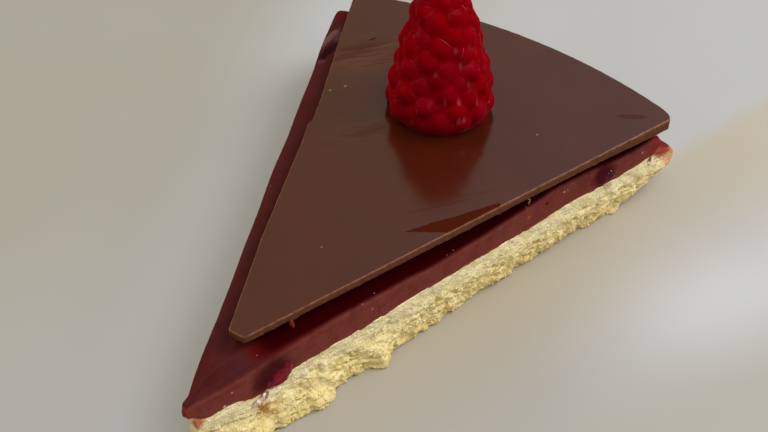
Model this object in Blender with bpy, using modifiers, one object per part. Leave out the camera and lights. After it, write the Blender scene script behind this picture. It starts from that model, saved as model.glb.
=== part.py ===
# A slice of layered tart: a crumbly pastry base, a berry and chocolate cream filling,
# a thin chocolate plate laid on it, and one raspberry standing on the plate.
# Metres, +Z up. The slice points along -Y. The origin is on the base, half way along the slice.
import math
import random

import bmesh
import bpy
from mathutils import Matrix, Vector, noise

MM = 0.001
GAP = 0.3 * MM  # kept between pieces that rest on or in each other
MERGE = 0.01 * MM  # points this close are one
WAVE_GAIN = 1.6  # brings slow noise to about -1 to 1
SIDE_STEP = 7.3  # keeps the two cuts' unevenness apart

# The whole slice
TART_RADIUS = 121.3 * MM  # out to the widest part of the baked edge
SLICE_HALF_ANGLE = math.radians(19.75)
APEX = Vector((0, -60 * MM, 0))  # the tart's centre, where the two cuts meet

# Pastry base
BASE_HEIGHT = 12.6 * MM
BASE_TIP_RADIUS = 2.2 * MM  # where the blunt tip starts
LIP_HEIGHT = 1.3 * MM  # how far the baked edge stands above the base
LIP_START = 114.2 * MM
LIP_WIDTH = 2.6 * MM
FOOT_RADIUS = 110 * MM  # the outer wall leans out from here
WIDEST_SHARE = 0.48  # share of its height where the outer wall is widest
LIP_ROUNDING = 4.4 * MM  # how far the lip's rounded top draws back from its widest part
LIP_CURVE = 2.2
RIM_START = 84 * MM  # rows of faces follow the cuts up to here, and then turn into the outer wall
BASE_ROW_STEP = 1.9 * MM
LIP_ROW_STEP = 0.8 * MM
CUT_STRIP = 0.1  # share of the half width, at each cut, where the seam is uneven
SEAM_WAVE = 0.35 * MM
SEAM_WAVE_LENGTH = 14 * MM
SEAM_TIP_FADE = 12 * MM
SEAM_DIP = 1.5 * MM  # where the berry piece near the tip has sunk into the pastry
SEAM_DIP_RADIUS = 15 * MM
SEAM_DIP_WIDTH = 3.2 * MM
SEAM_DIP_REACH = 0.8  # share of the half width that it fades over

# Torn pastry at the cuts
CRUMB_SIZE = 3.1 * MM
FINE_CRUMB_SIZE = 1.5 * MM
CRUMB_DEPTH = 0.95 * MM
FINE_CRUMB_SHARE = 0.6
TOP_CRUMB_SHARE = 0.3  # the crumb is this much shallower under the filling
CRUMB_TIP_FADE = 7 * MM
CRUMB_SIDE_STEP = 31 * MM
FLARE_WAVE = 0.5  # share by which the foot's spread and undercut vary
FLARE_WAVE_LENGTH = 9 * MM
FLARE_CURVE = 1.3
CRUMB_SPREAD = 2.0 * MM  # pastry pushed out at the foot near the tip
CRUMB_SPREAD_RADIUS = 18 * MM
CRUMB_SPREAD_WIDTH = 10 * MM
UNDERCUT = 1.6 * MM  # pastry broken away along the foot
UNDERCUT_START = 30 * MM
UNDERCUT_WIDTH = 40 * MM
UNDERCUT_HEIGHT = 8.5 * MM
RIM_UNDERCUT = 1.8 * MM  # and more of it near the rim
RIM_UNDERCUT_START = 88 * MM
RIM_UNDERCUT_WIDTH = 14 * MM
CORNER_LOSS = {-1: 2.0 * MM, 1: 0.4 * MM}  # how far the left and right corners are rounded off
CORNER_START = 109 * MM

# Filling
FILLING_TOP = 20.3 * MM  # along the cuts
CROWN_REACH = 9 * MM  # from a cut, the filling rises to the plate over this width
TIP_OVERHANG = 1.3 * MM  # how far the filling's tip bulges out over the pastry's
TIP_OVERHANG_WIDTH = 8 * MM
TIP_FULLNESS = 0.35 * MM  # added on each side of the tip, which rounds it
TIP_FULLNESS_WIDTH = 3.5 * MM
TIP_ROWS = (0.2 * MM, 0.8 * MM, 1.8 * MM, 3.4 * MM, 6.0 * MM, 9.0 * MM)
END_ROWS = (107 * MM, 109.5 * MM, 112 * MM, 113.5 * MM)
FILLING_ROW_STEP = 3.3 * MM
FILLING_RADIUS = 116.4 * MM
SAG = 3.2 * MM  # how much lower the filling lies along the right cut near the rim
SAG_START = 97 * MM
SAG_WIDTH = 14 * MM
END_START = 112 * MM  # the filling rounds over and down to the baked edge from here
FILLING_END_HEIGHT = 0.6 * MM
EDGE_ROUNDING = 1.1 * MM
EDGE_ROUNDING_SHARE = 0.45  # of the filling's height, at most
CUT_WAVE = 0.18 * MM
CUT_WAVE_LENGTH = 11 * MM
CUT_WAVE_TIP_FADE = 7 * MM

# Chocolate plate, its outline measured from the tart's centre
PLATE_TOP = 24.3 * MM
PLATE_RADIUS = 115.0 * MM
PLATE_TIP_THICKNESS = 1.5 * MM
PLATE_MIDDLE_THICKNESS = 1.75 * MM
PLATE_RIM_THICKNESS = 2.5 * MM
PLATE_THICK_START = 84 * MM
PLATE_THICK_WIDTH = 24 * MM
PLATE_FIRST_STATION = 18 * MM  # lines across the plate where its thickness is set
PLATE_LAST_STATION = 114 * MM
PLATE_STATION_STEP = 6 * MM
PLATE_ARRIS = 0.22 * MM
PLATE_ARC_PARTS = 18
PLATE_CORNER_ANGLE = 0.026  # radians of the arc that each rounded corner takes
PLATE_CORNER_DROP = (0.8 * MM, 2.9 * MM)  # how far the corner's two points lie inside the arc
PLATE_TIP_LEFT = (-0.7 * MM, 14.7 * MM)
PLATE_TIP_RIGHT = (2.8 * MM, 14.6 * MM)
PLATE_LEFT_EDGE = (  # the uneven left cut, from the rim back to the tip, with its small spur
    (-28.0 * MM, 92.0 * MM),
    (-21.5 * MM, 75.6 * MM),
    (-19.1 * MM, 69.0 * MM),
    (-19.3 * MM, 67.6 * MM),
    (-17.3 * MM, 62.4 * MM),
    (-9.0 * MM, 37.0 * MM),
)
PLATE_LEFT_ANGLE = math.radians(-17.6)  # where the plate's corners stand on its arc
PLATE_RIGHT_ANGLE = math.radians(21.2)

# Raspberry
BERRY_FOOT = (0.6 * MM, 85.4 * MM)  # centre of its foot, from the tart's centre
BERRY_HEIGHT = 27.0 * MM
BERRY_LEAN = math.radians(8)
BERRY_LEAN_HEADING = Vector((-0.524, 0.852, 0))
BERRY_PROFILE = (  # share of the height, radius over the drupelets
    (0.00, 9.0 * MM),
    (0.09, 10.3 * MM),
    (0.18, 10.2 * MM),
    (0.30, 9.4 * MM),
    (0.45, 8.5 * MM),
    (0.60, 7.4 * MM),
    (0.72, 6.4 * MM),
    (0.82, 5.5 * MM),
    (0.90, 4.4 * MM),
    (0.96, 2.9 * MM),
    (1.00, 0.4 * MM),
)
PROFILE_PARTS = 400  # how finely the profile is read to space the rings
DRUPELET_RADIUS = 2.15 * MM
DRUPELET_SINK = 1.6 * MM  # how far a drupelet's centre lies inside the profile
DRUPELET_SEGMENTS = 7
DRUPELET_RINGS = 4
DRUPELET_SIZES = (0.93, 1.09)  # smallest and largest, as shares
DRUPELET_SHIFT = 0.3 * MM  # the unevenness of their heights
DRUPELET_TURN = 0.1  # and of their places in a ring, as a share of the step
DRUPELET_STEP = 3.7 * MM
RING_STEP = 3.25 * MM
FIRST_RING = 0.35  # share of a step that the lowest ring stands above the foot
BERRY_HEART = 0.45  # share of the height that the drupelets point away from
GOLDEN_TURN = 2.4  # radians from one drupelet's facets to the next one's
CORE_SINK = 1.35 * MM
CORE_SEGMENTS = 16
CORE_FOOT = 0.02  # shares of the height
CORE_TOP = 0.97
CORE_TIP_RADIUS = 0.6 * MM
FOOT_CUTTER_SIZE = 60 * MM

# Berry pieces that the knife laid open: distance from the centre, height, half sizes
BERRY_PIECES = {
    "berry_piece_tip": (19.2 * MM, 13.6 * MM, (3.7 * MM, 3.2 * MM, 3.2 * MM)),
    "berry_piece_rim": (100.3 * MM, 14.4 * MM, (2.7 * MM, 2.4 * MM, 1.8 * MM)),
}
PIECE_PROUD = 0.25 * MM
PIECE_LUMPS = 0.12  # share of its size by which a berry piece is uneven
PIECE_LUMP_SCALE = 2.3

model = bpy.data.collections.new("tart_slice")
cutters = bpy.data.collections.new("cutters")


def clear_scene():
    for obj in list(bpy.data.objects):
        bpy.data.objects.remove(obj)
    for collection in (model, cutters):
        bpy.context.scene.collection.children.link(collection)


def make_material(name, colour, roughness):
    made = bpy.data.materials.new(name)
    made.use_nodes = True
    shader = made.node_tree.nodes["Principled BSDF"]
    shader.inputs["Base Color"].default_value = (*colour, 1)
    shader.inputs["Roughness"].default_value = roughness
    shader.inputs["Metallic"].default_value = 0
    return made


def add_object(name, bm, collection, made_of=None):
    mesh = bpy.data.meshes.new(name)
    bm.to_mesh(mesh)
    bm.free()
    obj = bpy.data.objects.new(name, mesh)
    collection.objects.link(obj)
    if made_of:
        mesh.materials.append(made_of)
    return obj


def as_cutter(obj):
    obj.hide_render = True
    obj.display_type = "WIRE"
    return obj


def ease(value):
    """0 below 0, 1 above 1, and smooth between."""
    value = min(1.0, max(0.0, value))
    return value * value * (3 - 2 * value)


def between(stops, at):
    """Reads a list of (position, value) stops, straight between them."""
    for (low, first), (high, second) in zip(stops, stops[1:]):
        if at <= high:
            return first + (second - first) * max(0.0, at - low) / (high - low)
    return stops[-1][1]


def polar(radius, angle):
    return APEX + Vector((radius * math.sin(angle), radius * math.cos(angle), 0))


def side_normal(side):
    """Points out of the right cut for side 1 and out of the left one for side -1."""
    return Vector(
        (side * math.cos(SLICE_HALF_ANGLE), -math.sin(SLICE_HALF_ANGLE), 0)
    )


def steps(start, stop, spacing):
    count = max(1, round((stop - start) / spacing))
    return [start + (stop - start) * k / count for k in range(count + 1)]


def make_block(columns, rows, levels, place):
    """A closed block: a grid pulled up level by level, then each corner moved by place(u, r, w)."""
    bm = bmesh.new()
    bmesh.ops.create_grid(
        bm, x_segments=len(columns) - 1, y_segments=len(rows) - 1, size=1
    )
    for vert in bm.verts:
        vert.co.z = 0
    top = bm.verts[:] + bm.edges[:] + bm.faces[:]
    for level in range(1, len(levels)):
        top = bmesh.ops.extrude_face_region(bm, geom=top)["geom"]
        for vert in (g for g in top if isinstance(g, bmesh.types.BMVert)):
            vert.co.z = level
    for vert in bm.verts:
        column = round((vert.co.x + 1) / 2 * (len(columns) - 1))
        row = round((vert.co.y + 1) / 2 * (len(rows) - 1))
        vert.co = place(columns[column], rows[row], levels[round(vert.co.z)])
    bmesh.ops.recalc_face_normals(bm, faces=bm.faces[:])
    return bm


def wave(radius, side, length, seed):
    """Slow unevenness along a cut, from -1 to 1."""
    return noise.noise(Vector((radius / length, SIDE_STEP * side, seed))) * WAVE_GAIN


def base_top(u, radius):
    """The seam between base and filling: level inside, gently uneven where the cuts show it."""
    near_cut = ease(1 - (1 - abs(u)) / CUT_STRIP) * ease(radius / SEAM_TIP_FADE)
    side = math.copysign(1, u)
    uneven = SEAM_WAVE * wave(radius, side, SEAM_WAVE_LENGTH, 3.1) * near_cut
    from_dip = (radius - SEAM_DIP_RADIUS) / SEAM_DIP_WIDTH
    dip = SEAM_DIP * math.exp(-from_dip * from_dip) * ease(1 - (1 - u) / SEAM_DIP_REACH)
    lip = LIP_HEIGHT * ease((radius - LIP_START) / LIP_WIDTH)
    return BASE_HEIGHT + uneven + lip - dip


def wall_radius(w):
    """The baked outer wall leans out to its widest part, then rounds back to the lip's top."""
    lean = FOOT_RADIUS + (TART_RADIUS - FOOT_RADIUS) * ease(w / WIDEST_SHARE)
    above = max(0.0, (w - WIDEST_SHARE) / (1 - WIDEST_SHARE))
    return lean - LIP_ROUNDING * above**LIP_CURVE


def corner_loss(radius, side):
    """How far the slice's far corners are rounded off."""
    past = max(0.0, radius - CORNER_START) / (TART_RADIUS - CORNER_START)
    return CORNER_LOSS[side] * past * past


def crumb_offset(radius, height, side):
    """How far the torn pastry stands out of the cut's plane."""
    from_spread = (radius - CRUMB_SPREAD_RADIUS) / CRUMB_SPREAD_WIDTH
    spread = CRUMB_SPREAD * math.exp(-from_spread * from_spread)
    undercut = UNDERCUT * ease((radius - UNDERCUT_START) / UNDERCUT_WIDTH)
    undercut += RIM_UNDERCUT * ease((radius - RIM_UNDERCUT_START) / RIM_UNDERCUT_WIDTH)
    low = (1 - min(1.0, height / UNDERCUT_HEIGHT)) ** FLARE_CURVE
    varied = 1 + FLARE_WAVE * wave(radius, side, FLARE_WAVE_LENGTH, 8.4)
    point = Vector((radius, CRUMB_SIDE_STEP * side, height))
    coarse = noise.noise(point / CRUMB_SIZE)
    fine = noise.noise(point / FINE_CRUMB_SIZE + Vector((5, 9, 2)))
    depth = CRUMB_DEPTH * (1 - (1 - TOP_CRUMB_SHARE) * min(1.0, height / BASE_HEIGHT))
    offset = (spread - undercut) * low * varied + depth * (coarse + FINE_CRUMB_SHARE * fine)
    return offset * ease(radius / CRUMB_TIP_FADE) - corner_loss(radius, side)


def pulled_in(radius, w):
    """Rows near the rim draw in, so that the last one follows the outer wall."""
    share = ease((radius - RIM_START) / (TART_RADIUS - RIM_START))
    return radius - (TART_RADIUS - wall_radius(w)) * share


def place_base(u, radius, w):
    height = base_top(u, pulled_in(radius, 1)) * w
    place = polar(pulled_in(radius, w), u * SLICE_HALF_ANGLE)
    if u:
        side = math.copysign(1, u)
        place += side_normal(side) * crumb_offset(radius, height, side) * abs(u)
    place.z = height
    return place


def plate_thickness(y):
    """The plate thickens slowly from its tip, and more towards its rim. y runs from the tart's centre."""
    middle = PLATE_MIDDLE_THICKNESS - PLATE_TIP_THICKNESS
    rim = PLATE_RIM_THICKNESS - PLATE_MIDDLE_THICKNESS
    slow = ease(y / PLATE_THICK_START)
    late = ease((y - PLATE_THICK_START) / PLATE_THICK_WIDTH)
    return PLATE_TIP_THICKNESS + middle * slow + rim * late


def filling_top(u, radius):
    """Low along the cuts, up to the plate between them, and down to the lip at its end."""
    from_cut = (1 - abs(u)) * SLICE_HALF_ANGLE * radius
    under_plate = PLATE_TOP - GAP
    under_plate -= plate_thickness(radius * math.cos(u * SLICE_HALF_ANGLE))
    edge = FILLING_TOP - SAG * ease((u + 1) / 2) * ease((radius - SAG_START) / SAG_WIDTH)
    top = edge + (under_plate - edge) * ease(from_cut / CROWN_REACH)
    end = base_top(u, FILLING_RADIUS) + FILLING_END_HEIGHT
    into_end = max(0.0, radius - END_START) / (FILLING_RADIUS - END_START)
    return top - (top - end) * (1 - math.sqrt(max(0.0, 1 - into_end**2)))


def tip_shift(radius, w):
    """The filling's tip bulges out half way up, and overhangs the pastry's."""
    bulge = math.sin(math.pi * (0.12 + 0.72 * w))
    return TIP_OVERHANG * (1 - bulge) * (1 - ease(radius / TIP_OVERHANG_WIDTH))


def place_filling(u, radius, w):
    bottom = base_top(u, radius) + GAP
    top = filling_top(u, radius)
    height = bottom + (top - bottom) * w
    rounding = min(EDGE_ROUNDING, EDGE_ROUNDING_SHARE * (top - bottom))
    into_rounding = max(0.0, (height - top) / rounding + 1)
    inset = rounding * (1 - math.sqrt(1 - min(1.0, into_rounding) ** 2))
    inset = min(inset, 0.6 * radius * math.sin(SLICE_HALF_ANGLE))  # less where the tip is narrow
    place = polar(radius + tip_shift(radius, w), u * SLICE_HALF_ANGLE)
    if u:
        side = math.copysign(1, u)
        uneven = CUT_WAVE * wave(radius, side, CUT_WAVE_LENGTH, 5.7)
        uneven *= ease(radius / CUT_WAVE_TIP_FADE)
        fuller = TIP_FULLNESS * (1 - ease(radius / TIP_FULLNESS_WIDTH))
        offset = uneven + fuller - inset - corner_loss(radius, side)
        place += side_normal(side) * offset * abs(u)
    place.z = height
    return place


def make_base(made_of):
    columns = [-1, -0.92, *[k / 8 for k in range(-6, 7)], 0.92, 1]  # shares of the half width
    rows = [
        *steps(BASE_TIP_RADIUS, 113 * MM, BASE_ROW_STEP),
        *steps(114 * MM, 118.8 * MM, LIP_ROW_STEP),
        TART_RADIUS,
    ]
    levels = [0, 0.14, 0.28, 0.42, 0.56, 0.72, 0.87, 1]  # shares of the height
    return add_object(
        "pastry_base", make_block(columns, rows, levels, place_base), model, made_of
    )


def make_filling(made_of):
    columns = [-1, -0.92, -0.8, -0.6, -0.3, 0, 0.3, 0.6, 0.8, 0.92, 1]
    rows = [
        *TIP_ROWS,
        *steps(12 * MM, 104 * MM, FILLING_ROW_STEP),
        *END_ROWS,
        *steps(LIP_START, FILLING_RADIUS, LIP_ROW_STEP),
    ]
    levels = [0, 0.28, 0.6, 0.86, 0.95, 1]
    return add_object(
        "filling", make_block(columns, rows, levels, place_filling), model, made_of
    )


def berry_piece_matrix(radius, height):
    """Stands at a place on the right cut, with X along the cut and Y out of it."""
    along = Vector((math.sin(SLICE_HALF_ANGLE), math.cos(SLICE_HALF_ANGLE), 0))
    out = side_normal(1)
    place = APEX + along * radius + Vector((0, 0, height))
    turn = Matrix((along, -out, Vector((0, 0, 1)))).transposed().to_4x4()
    return Matrix.Translation(place) @ turn


def make_berry_piece(name, radius, height, half_sizes, made_of):
    """A lump of berry cut off level with the slice's side, and the hollow that it lies in."""
    matrix = berry_piece_matrix(radius, height)
    found = {}
    for grow in (0, GAP):
        bm = bmesh.new()
        bmesh.ops.create_icosphere(bm, subdivisions=2, radius=1)
        for vert in bm.verts:
            at = vert.co * PIECE_LUMP_SCALE + Vector((radius / MM, 0, 0))
            lump = 1 + PIECE_LUMPS * noise.noise(at)
            vert.co = Vector(
                c * (half * lump + grow) for c, half in zip(vert.co, half_sizes)
            )
        if not grow:
            cut = bmesh.ops.bisect_plane(
                bm,
                geom=bm.verts[:] + bm.edges[:] + bm.faces[:],
                plane_co=(0, -PIECE_PROUD, 0),
                plane_no=(0, -1, 0),
                clear_outer=True,
            )["geom_cut"]
            rim = [g for g in cut if isinstance(g, bmesh.types.BMEdge)]
            bmesh.ops.contextual_create(bm, geom=rim)
            bmesh.ops.recalc_face_normals(bm, faces=bm.faces[:])
        found[grow] = bm
    piece = add_object(name, found[0], model, made_of)
    hollow = as_cutter(add_object(name + "_hollow", found[GAP], cutters))
    piece.matrix_world = matrix
    hollow.matrix_world = matrix
    return hollow


def cut_away(obj, cutter):
    cut = obj.modifiers.new("cut_" + cutter.name, "BOOLEAN")
    cut.operation = "DIFFERENCE"
    cut.solver = "EXACT"
    cut.object = cutter


def plate_outline():
    """The plate's outline, anticlockwise from the right corner of its blunt tip."""
    first, last = PLATE_RIGHT_ANGLE - PLATE_CORNER_ANGLE, PLATE_LEFT_ANGLE + PLATE_CORNER_ANGLE
    arc = [
        first + (last - first) * k / PLATE_ARC_PARTS for k in range(PLATE_ARC_PARTS + 1)
    ]
    near, far = PLATE_CORNER_DROP
    third = PLATE_CORNER_ANGLE / 3
    tip_left, tip_right, *left_edge = (
        APEX + Vector((*point, 0))
        for point in (PLATE_TIP_LEFT, PLATE_TIP_RIGHT, *PLATE_LEFT_EDGE)
    )
    return [
        tip_right,
        polar(PLATE_RADIUS - far, PLATE_RIGHT_ANGLE),
        polar(PLATE_RADIUS - near, PLATE_RIGHT_ANGLE - third),
        *[polar(PLATE_RADIUS, angle) for angle in arc],
        polar(PLATE_RADIUS - near, PLATE_LEFT_ANGLE + third),
        polar(PLATE_RADIUS - far, PLATE_LEFT_ANGLE),
        *left_edge,
        tip_left,
    ]


def make_plate(made_of):
    """A flat outline given its thickness, thinner towards the tip, with its arrises taken off."""
    outline = plate_outline()
    bm = bmesh.new()
    bottom = bm.faces.new([bm.verts.new(point) for point in outline])
    up = bmesh.ops.extrude_face_region(bm, geom=[bottom])["geom"]
    for vert in (g for g in up if isinstance(g, bmesh.types.BMVert)):
        vert.co.z = PLATE_RIM_THICKNESS
    bmesh.ops.recalc_face_normals(bm, faces=bm.faces[:])
    edges = [e for e in bm.edges if abs(e.verts[0].co.z - e.verts[1].co.z) < MERGE]
    bmesh.ops.bevel(
        bm,
        geom=edges,
        offset=PLATE_ARRIS,
        segments=1,
        profile=0.5,
        affect="EDGES",
    )
    for station in steps(PLATE_FIRST_STATION, PLATE_LAST_STATION, PLATE_STATION_STEP):
        bmesh.ops.bisect_plane(
            bm,
            geom=bm.verts[:] + bm.edges[:] + bm.faces[:],
            plane_co=APEX + Vector((0, station, 0)),
            plane_no=(0, 1, 0),
        )
    for vert in bm.verts:
        share = vert.co.z / PLATE_RIM_THICKNESS
        vert.co.z = PLATE_TOP - plate_thickness(vert.co.y - APEX.y) * (1 - share)
    bmesh.ops.triangulate(bm, faces=[f for f in bm.faces if len(f.verts) > 4])
    return add_object("chocolate_plate", bm, model, made_of)


def berry_frame():
    """Puts the berry's own axis, foot at the origin, in its leaning place on the plate."""
    lean = Matrix.Rotation(BERRY_LEAN, 4, Vector((0, 0, 1)).cross(BERRY_LEAN_HEADING))
    foot = APEX + Vector((*BERRY_FOOT, PLATE_TOP))
    return Matrix.Translation(foot) @ lean


def drupelet_places():
    """Rings of drupelets up the profile, each ring turned half a step from the last."""
    draw = random.Random(5)
    travelled, rings, last = 0.0, [], None
    for k in range(PROFILE_PARTS + 1):
        share = k / PROFILE_PARTS
        point = Vector((between(BERRY_PROFILE, share), share * BERRY_HEIGHT))
        travelled += (point - last).length if last else 0
        last = point
        if travelled >= (len(rings) + FIRST_RING) * RING_STEP:
            rings.append(share)
    places = []
    for index, share in enumerate(rings):
        radius = max(0.0, between(BERRY_PROFILE, share) - DRUPELET_SINK)
        count = max(1, round(math.tau * radius / DRUPELET_STEP))
        for turn in range(count):
            turn += 0.5 * (index % 2) + draw.uniform(-1, 1) * DRUPELET_TURN
            angle = math.tau * turn / count
            rise = share * BERRY_HEIGHT + draw.uniform(-1, 1) * DRUPELET_SHIFT
            size = DRUPELET_RADIUS * draw.uniform(*DRUPELET_SIZES)
            place = Vector((radius * math.cos(angle), radius * math.sin(angle), rise))
            places.append((place, size))
    places.append((Vector((0, 0, BERRY_HEIGHT - DRUPELET_RADIUS)), DRUPELET_RADIUS))
    return places


def make_berry_core():
    """The solid middle that the drupelets grow from: a profile turned by a Screw modifier."""
    bm = bmesh.new()
    profile = [Vector((0, 0, CORE_FOOT * BERRY_HEIGHT))]
    for share in (CORE_FOOT, *[k / 10 for k in range(1, 10)], CORE_TOP):
        radius = max(CORE_TIP_RADIUS, between(BERRY_PROFILE, share) - CORE_SINK)
        profile.append(Vector((radius, 0, share * BERRY_HEIGHT)))
    profile.append(Vector((0, 0, CORE_TOP * BERRY_HEIGHT)))
    verts = [bm.verts.new(point) for point in reversed(profile)]
    for first, second in zip(verts, verts[1:]):
        bm.edges.new((first, second))
    core = add_object("raspberry", bm, model)
    turned = core.modifiers.new("turned", "SCREW")
    turned.steps = turned.render_steps = CORE_SEGMENTS
    turned.use_merge_vertices = True
    turned.merge_threshold = MERGE
    return core


def applied(obj):
    """Replaces an object's mesh by what its modifiers make of it."""
    graph = bpy.context.evaluated_depsgraph_get()
    mesh = bpy.data.meshes.new_from_object(obj.evaluated_get(graph))
    obj.modifiers.clear()
    obj.data = mesh


def keep_largest_shell(mesh):
    """Drops the small hollows and scraps that joining many shapes leaves."""
    bm = bmesh.new()
    bm.from_mesh(mesh)
    left, shells = set(bm.faces), []
    while left:
        shell, edge_of_shell = set(), [left.pop()]
        while edge_of_shell:
            face = edge_of_shell.pop()
            shell.add(face)
            near = {f for e in face.edges for f in e.link_faces} & left
            left -= near
            edge_of_shell += near
        shells.append(shell)
    largest = max(shells, key=len)
    scraps = [face for shell in shells if shell is not largest for face in shell]
    bmesh.ops.delete(bm, geom=scraps, context="FACES")
    bm.to_mesh(mesh)
    bm.free()


def make_raspberry(made_of):
    drupelets = bpy.data.collections.new("drupelets")
    bpy.context.scene.collection.children.link(drupelets)
    for number, (place, size) in enumerate(drupelet_places()):
        bm = bmesh.new()
        bmesh.ops.create_uvsphere(
            bm, u_segments=DRUPELET_SEGMENTS, v_segments=DRUPELET_RINGS, radius=size
        )
        out = place - Vector((0, 0, BERRY_HEART * BERRY_HEIGHT))
        turn = Vector((0, 0, 1)).rotation_difference(out).to_matrix()
        turn = turn @ Matrix.Rotation(number * GOLDEN_TURN, 3, "Z")
        bmesh.ops.rotate(bm, cent=(0, 0, 0), matrix=turn, verts=bm.verts[:])
        bmesh.ops.translate(bm, vec=place, verts=bm.verts[:])
        add_object(f"drupelet_{number:03d}", bm, drupelets)
    berry = make_berry_core()
    joined = berry.modifiers.new("joined", "BOOLEAN")
    joined.operation = "UNION"
    joined.operand_type = "COLLECTION"
    joined.collection = drupelets
    joined.solver = "MANIFOLD"
    applied(berry)
    keep_largest_shell(berry.data)
    for obj in list(drupelets.objects):
        bpy.data.objects.remove(obj)
    bpy.data.collections.remove(drupelets)
    berry.matrix_world = berry_frame()
    bm = bmesh.new()
    bmesh.ops.create_cube(bm, size=FOOT_CUTTER_SIZE)
    below = APEX + Vector((*BERRY_FOOT, PLATE_TOP + GAP - FOOT_CUTTER_SIZE / 2))
    bmesh.ops.translate(bm, vec=below, verts=bm.verts[:])
    cut_away(berry, as_cutter(add_object("berry_foot_cutter", bm, cutters)))
    berry.data.materials.clear()
    berry.data.materials.append(made_of)
    return berry


def main():
    clear_scene()
    pastry = make_material("pastry", (0.62, 0.5, 0.26), 0.85)
    cream = make_material("berry_cream", (0.13, 0.025, 0.02), 0.35)
    chocolate = make_material("milk_chocolate", (0.09, 0.036, 0.02), 0.2)
    berry_skin = make_material("berry_skin", (0.28, 0.004, 0.012), 0.3)
    cut_berry = make_material("cut_berry", (0.08, 0.003, 0.012), 0.15)
    base = make_base(pastry)
    filling = make_filling(cream)
    for name, (radius, height, half_sizes) in BERRY_PIECES.items():
        hollow = make_berry_piece(name, radius, height, half_sizes, cut_berry)
        cut_away(base, hollow)
        cut_away(filling, hollow)
    make_plate(chocolate)
    make_raspberry(berry_skin)


main()
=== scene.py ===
# A slice of layered tart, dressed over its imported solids: torn pastry, maroon cream, a thin
# chocolate plate and a raspberry. Metres, +Z up, the slice's tip towards -Y.
import math
import random

import bmesh
import bpy
from mathutils import Matrix, Vector, kdtree, noise


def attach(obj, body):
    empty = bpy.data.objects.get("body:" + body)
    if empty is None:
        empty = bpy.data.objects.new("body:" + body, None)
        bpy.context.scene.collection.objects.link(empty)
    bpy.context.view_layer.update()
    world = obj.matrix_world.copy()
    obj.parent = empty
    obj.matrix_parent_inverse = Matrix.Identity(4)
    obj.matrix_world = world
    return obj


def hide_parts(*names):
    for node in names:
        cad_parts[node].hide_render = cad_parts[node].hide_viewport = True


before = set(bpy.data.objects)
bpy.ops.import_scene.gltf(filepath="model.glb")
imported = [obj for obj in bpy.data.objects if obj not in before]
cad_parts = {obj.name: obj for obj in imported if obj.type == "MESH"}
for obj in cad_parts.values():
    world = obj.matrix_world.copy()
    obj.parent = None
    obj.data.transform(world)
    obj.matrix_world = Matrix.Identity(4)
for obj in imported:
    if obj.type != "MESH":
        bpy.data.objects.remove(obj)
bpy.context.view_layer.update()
mm = 0.001
print("frame loaded:", ", ".join(sorted(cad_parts)))

# the wedge that every layer is cut from; radii run from the tart's centre
wedge = {
    "centre": Vector((0, -60 * mm, 0)),
    "radius": 121.3 * mm,
    "halfAngle": math.radians(19.75),
    "trueTip": 7 * mm,  # the cuts run true at the tip and grow uneven up to this radius
}


def clamp(value):
    return min(1.0, max(0.0, value))


def ease(value):
    # 0 below 0, 1 above 1, smooth between
    value = clamp(value)
    return value * value * (3 - 2 * value)


def hump(value, middle, width):
    return math.exp(-(((value - middle) / width) ** 2))


def between(stops, at):
    # reads a list of (position, value) stops, straight between them
    for (low, first), (high, second) in zip(stops, stops[1:]):
        if at <= high:
            return first + (second - first) * max(0.0, at - low) / (high - low)
    return stops[-1][1]


def steps(start, stop, spacing):
    count = max(1, round(abs(stop - start) / spacing))
    return [start + (stop - start) * k / count for k in range(count + 1)]


def fromCentre(x, y, z=0):
    # a point in millimetres from the tart's centre
    return wedge["centre"] + Vector((x, y, z)) * mm


def polar(radius, angle):
    return wedge["centre"] + Vector((radius * math.sin(angle), radius * math.cos(angle), 0))


def sideNormal(side):
    # out of the right cut for side 1, out of the left one for side -1
    return Vector((side * math.cos(wedge["halfAngle"]), -math.sin(wedge["halfAngle"]), 0))


def onCut(radius, height, out=0.0):
    # a point on the right cut
    return polar(radius, wedge["halfAngle"]) + sideNormal(1) * out + Vector((0, 0, height))


def wave(radius, side, length, seed):
    # slow unevenness along a cut, about -1 to 1
    return noise.noise(Vector((radius / length, 7.3 * side, seed))) * 1.6


# meshes


def rolledGrid(around, rings, place, layers=()):
    # a grid rolled into a tube, ring by ring, and closed at both ends
    # place(spot, ring) gives each corner's point, and a value for each named layer
    bm = bmesh.new()
    made = [bm.verts.layers.float.new(name) for name in layers]
    bmesh.ops.create_grid(bm, x_segments=len(around), y_segments=len(rings) - 1, size=1)
    for vert in bm.verts:
        column = round((vert.co.x + 1) / 2 * len(around)) % len(around)
        row = round((vert.co.y + 1) / 2 * (len(rings) - 1))
        vert.co, *values = place(around[column], rings[row])
        for layer, value in zip(made, values):
            vert[layer] = value
    bmesh.ops.remove_doubles(bm, verts=bm.verts[:], dist=0.002 * mm)
    bmesh.ops.holes_fill(bm, edges=[e for e in bm.edges if e.is_boundary], sides=0)
    bmesh.ops.recalc_face_normals(bm, faces=bm.faces[:])
    return bm


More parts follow.
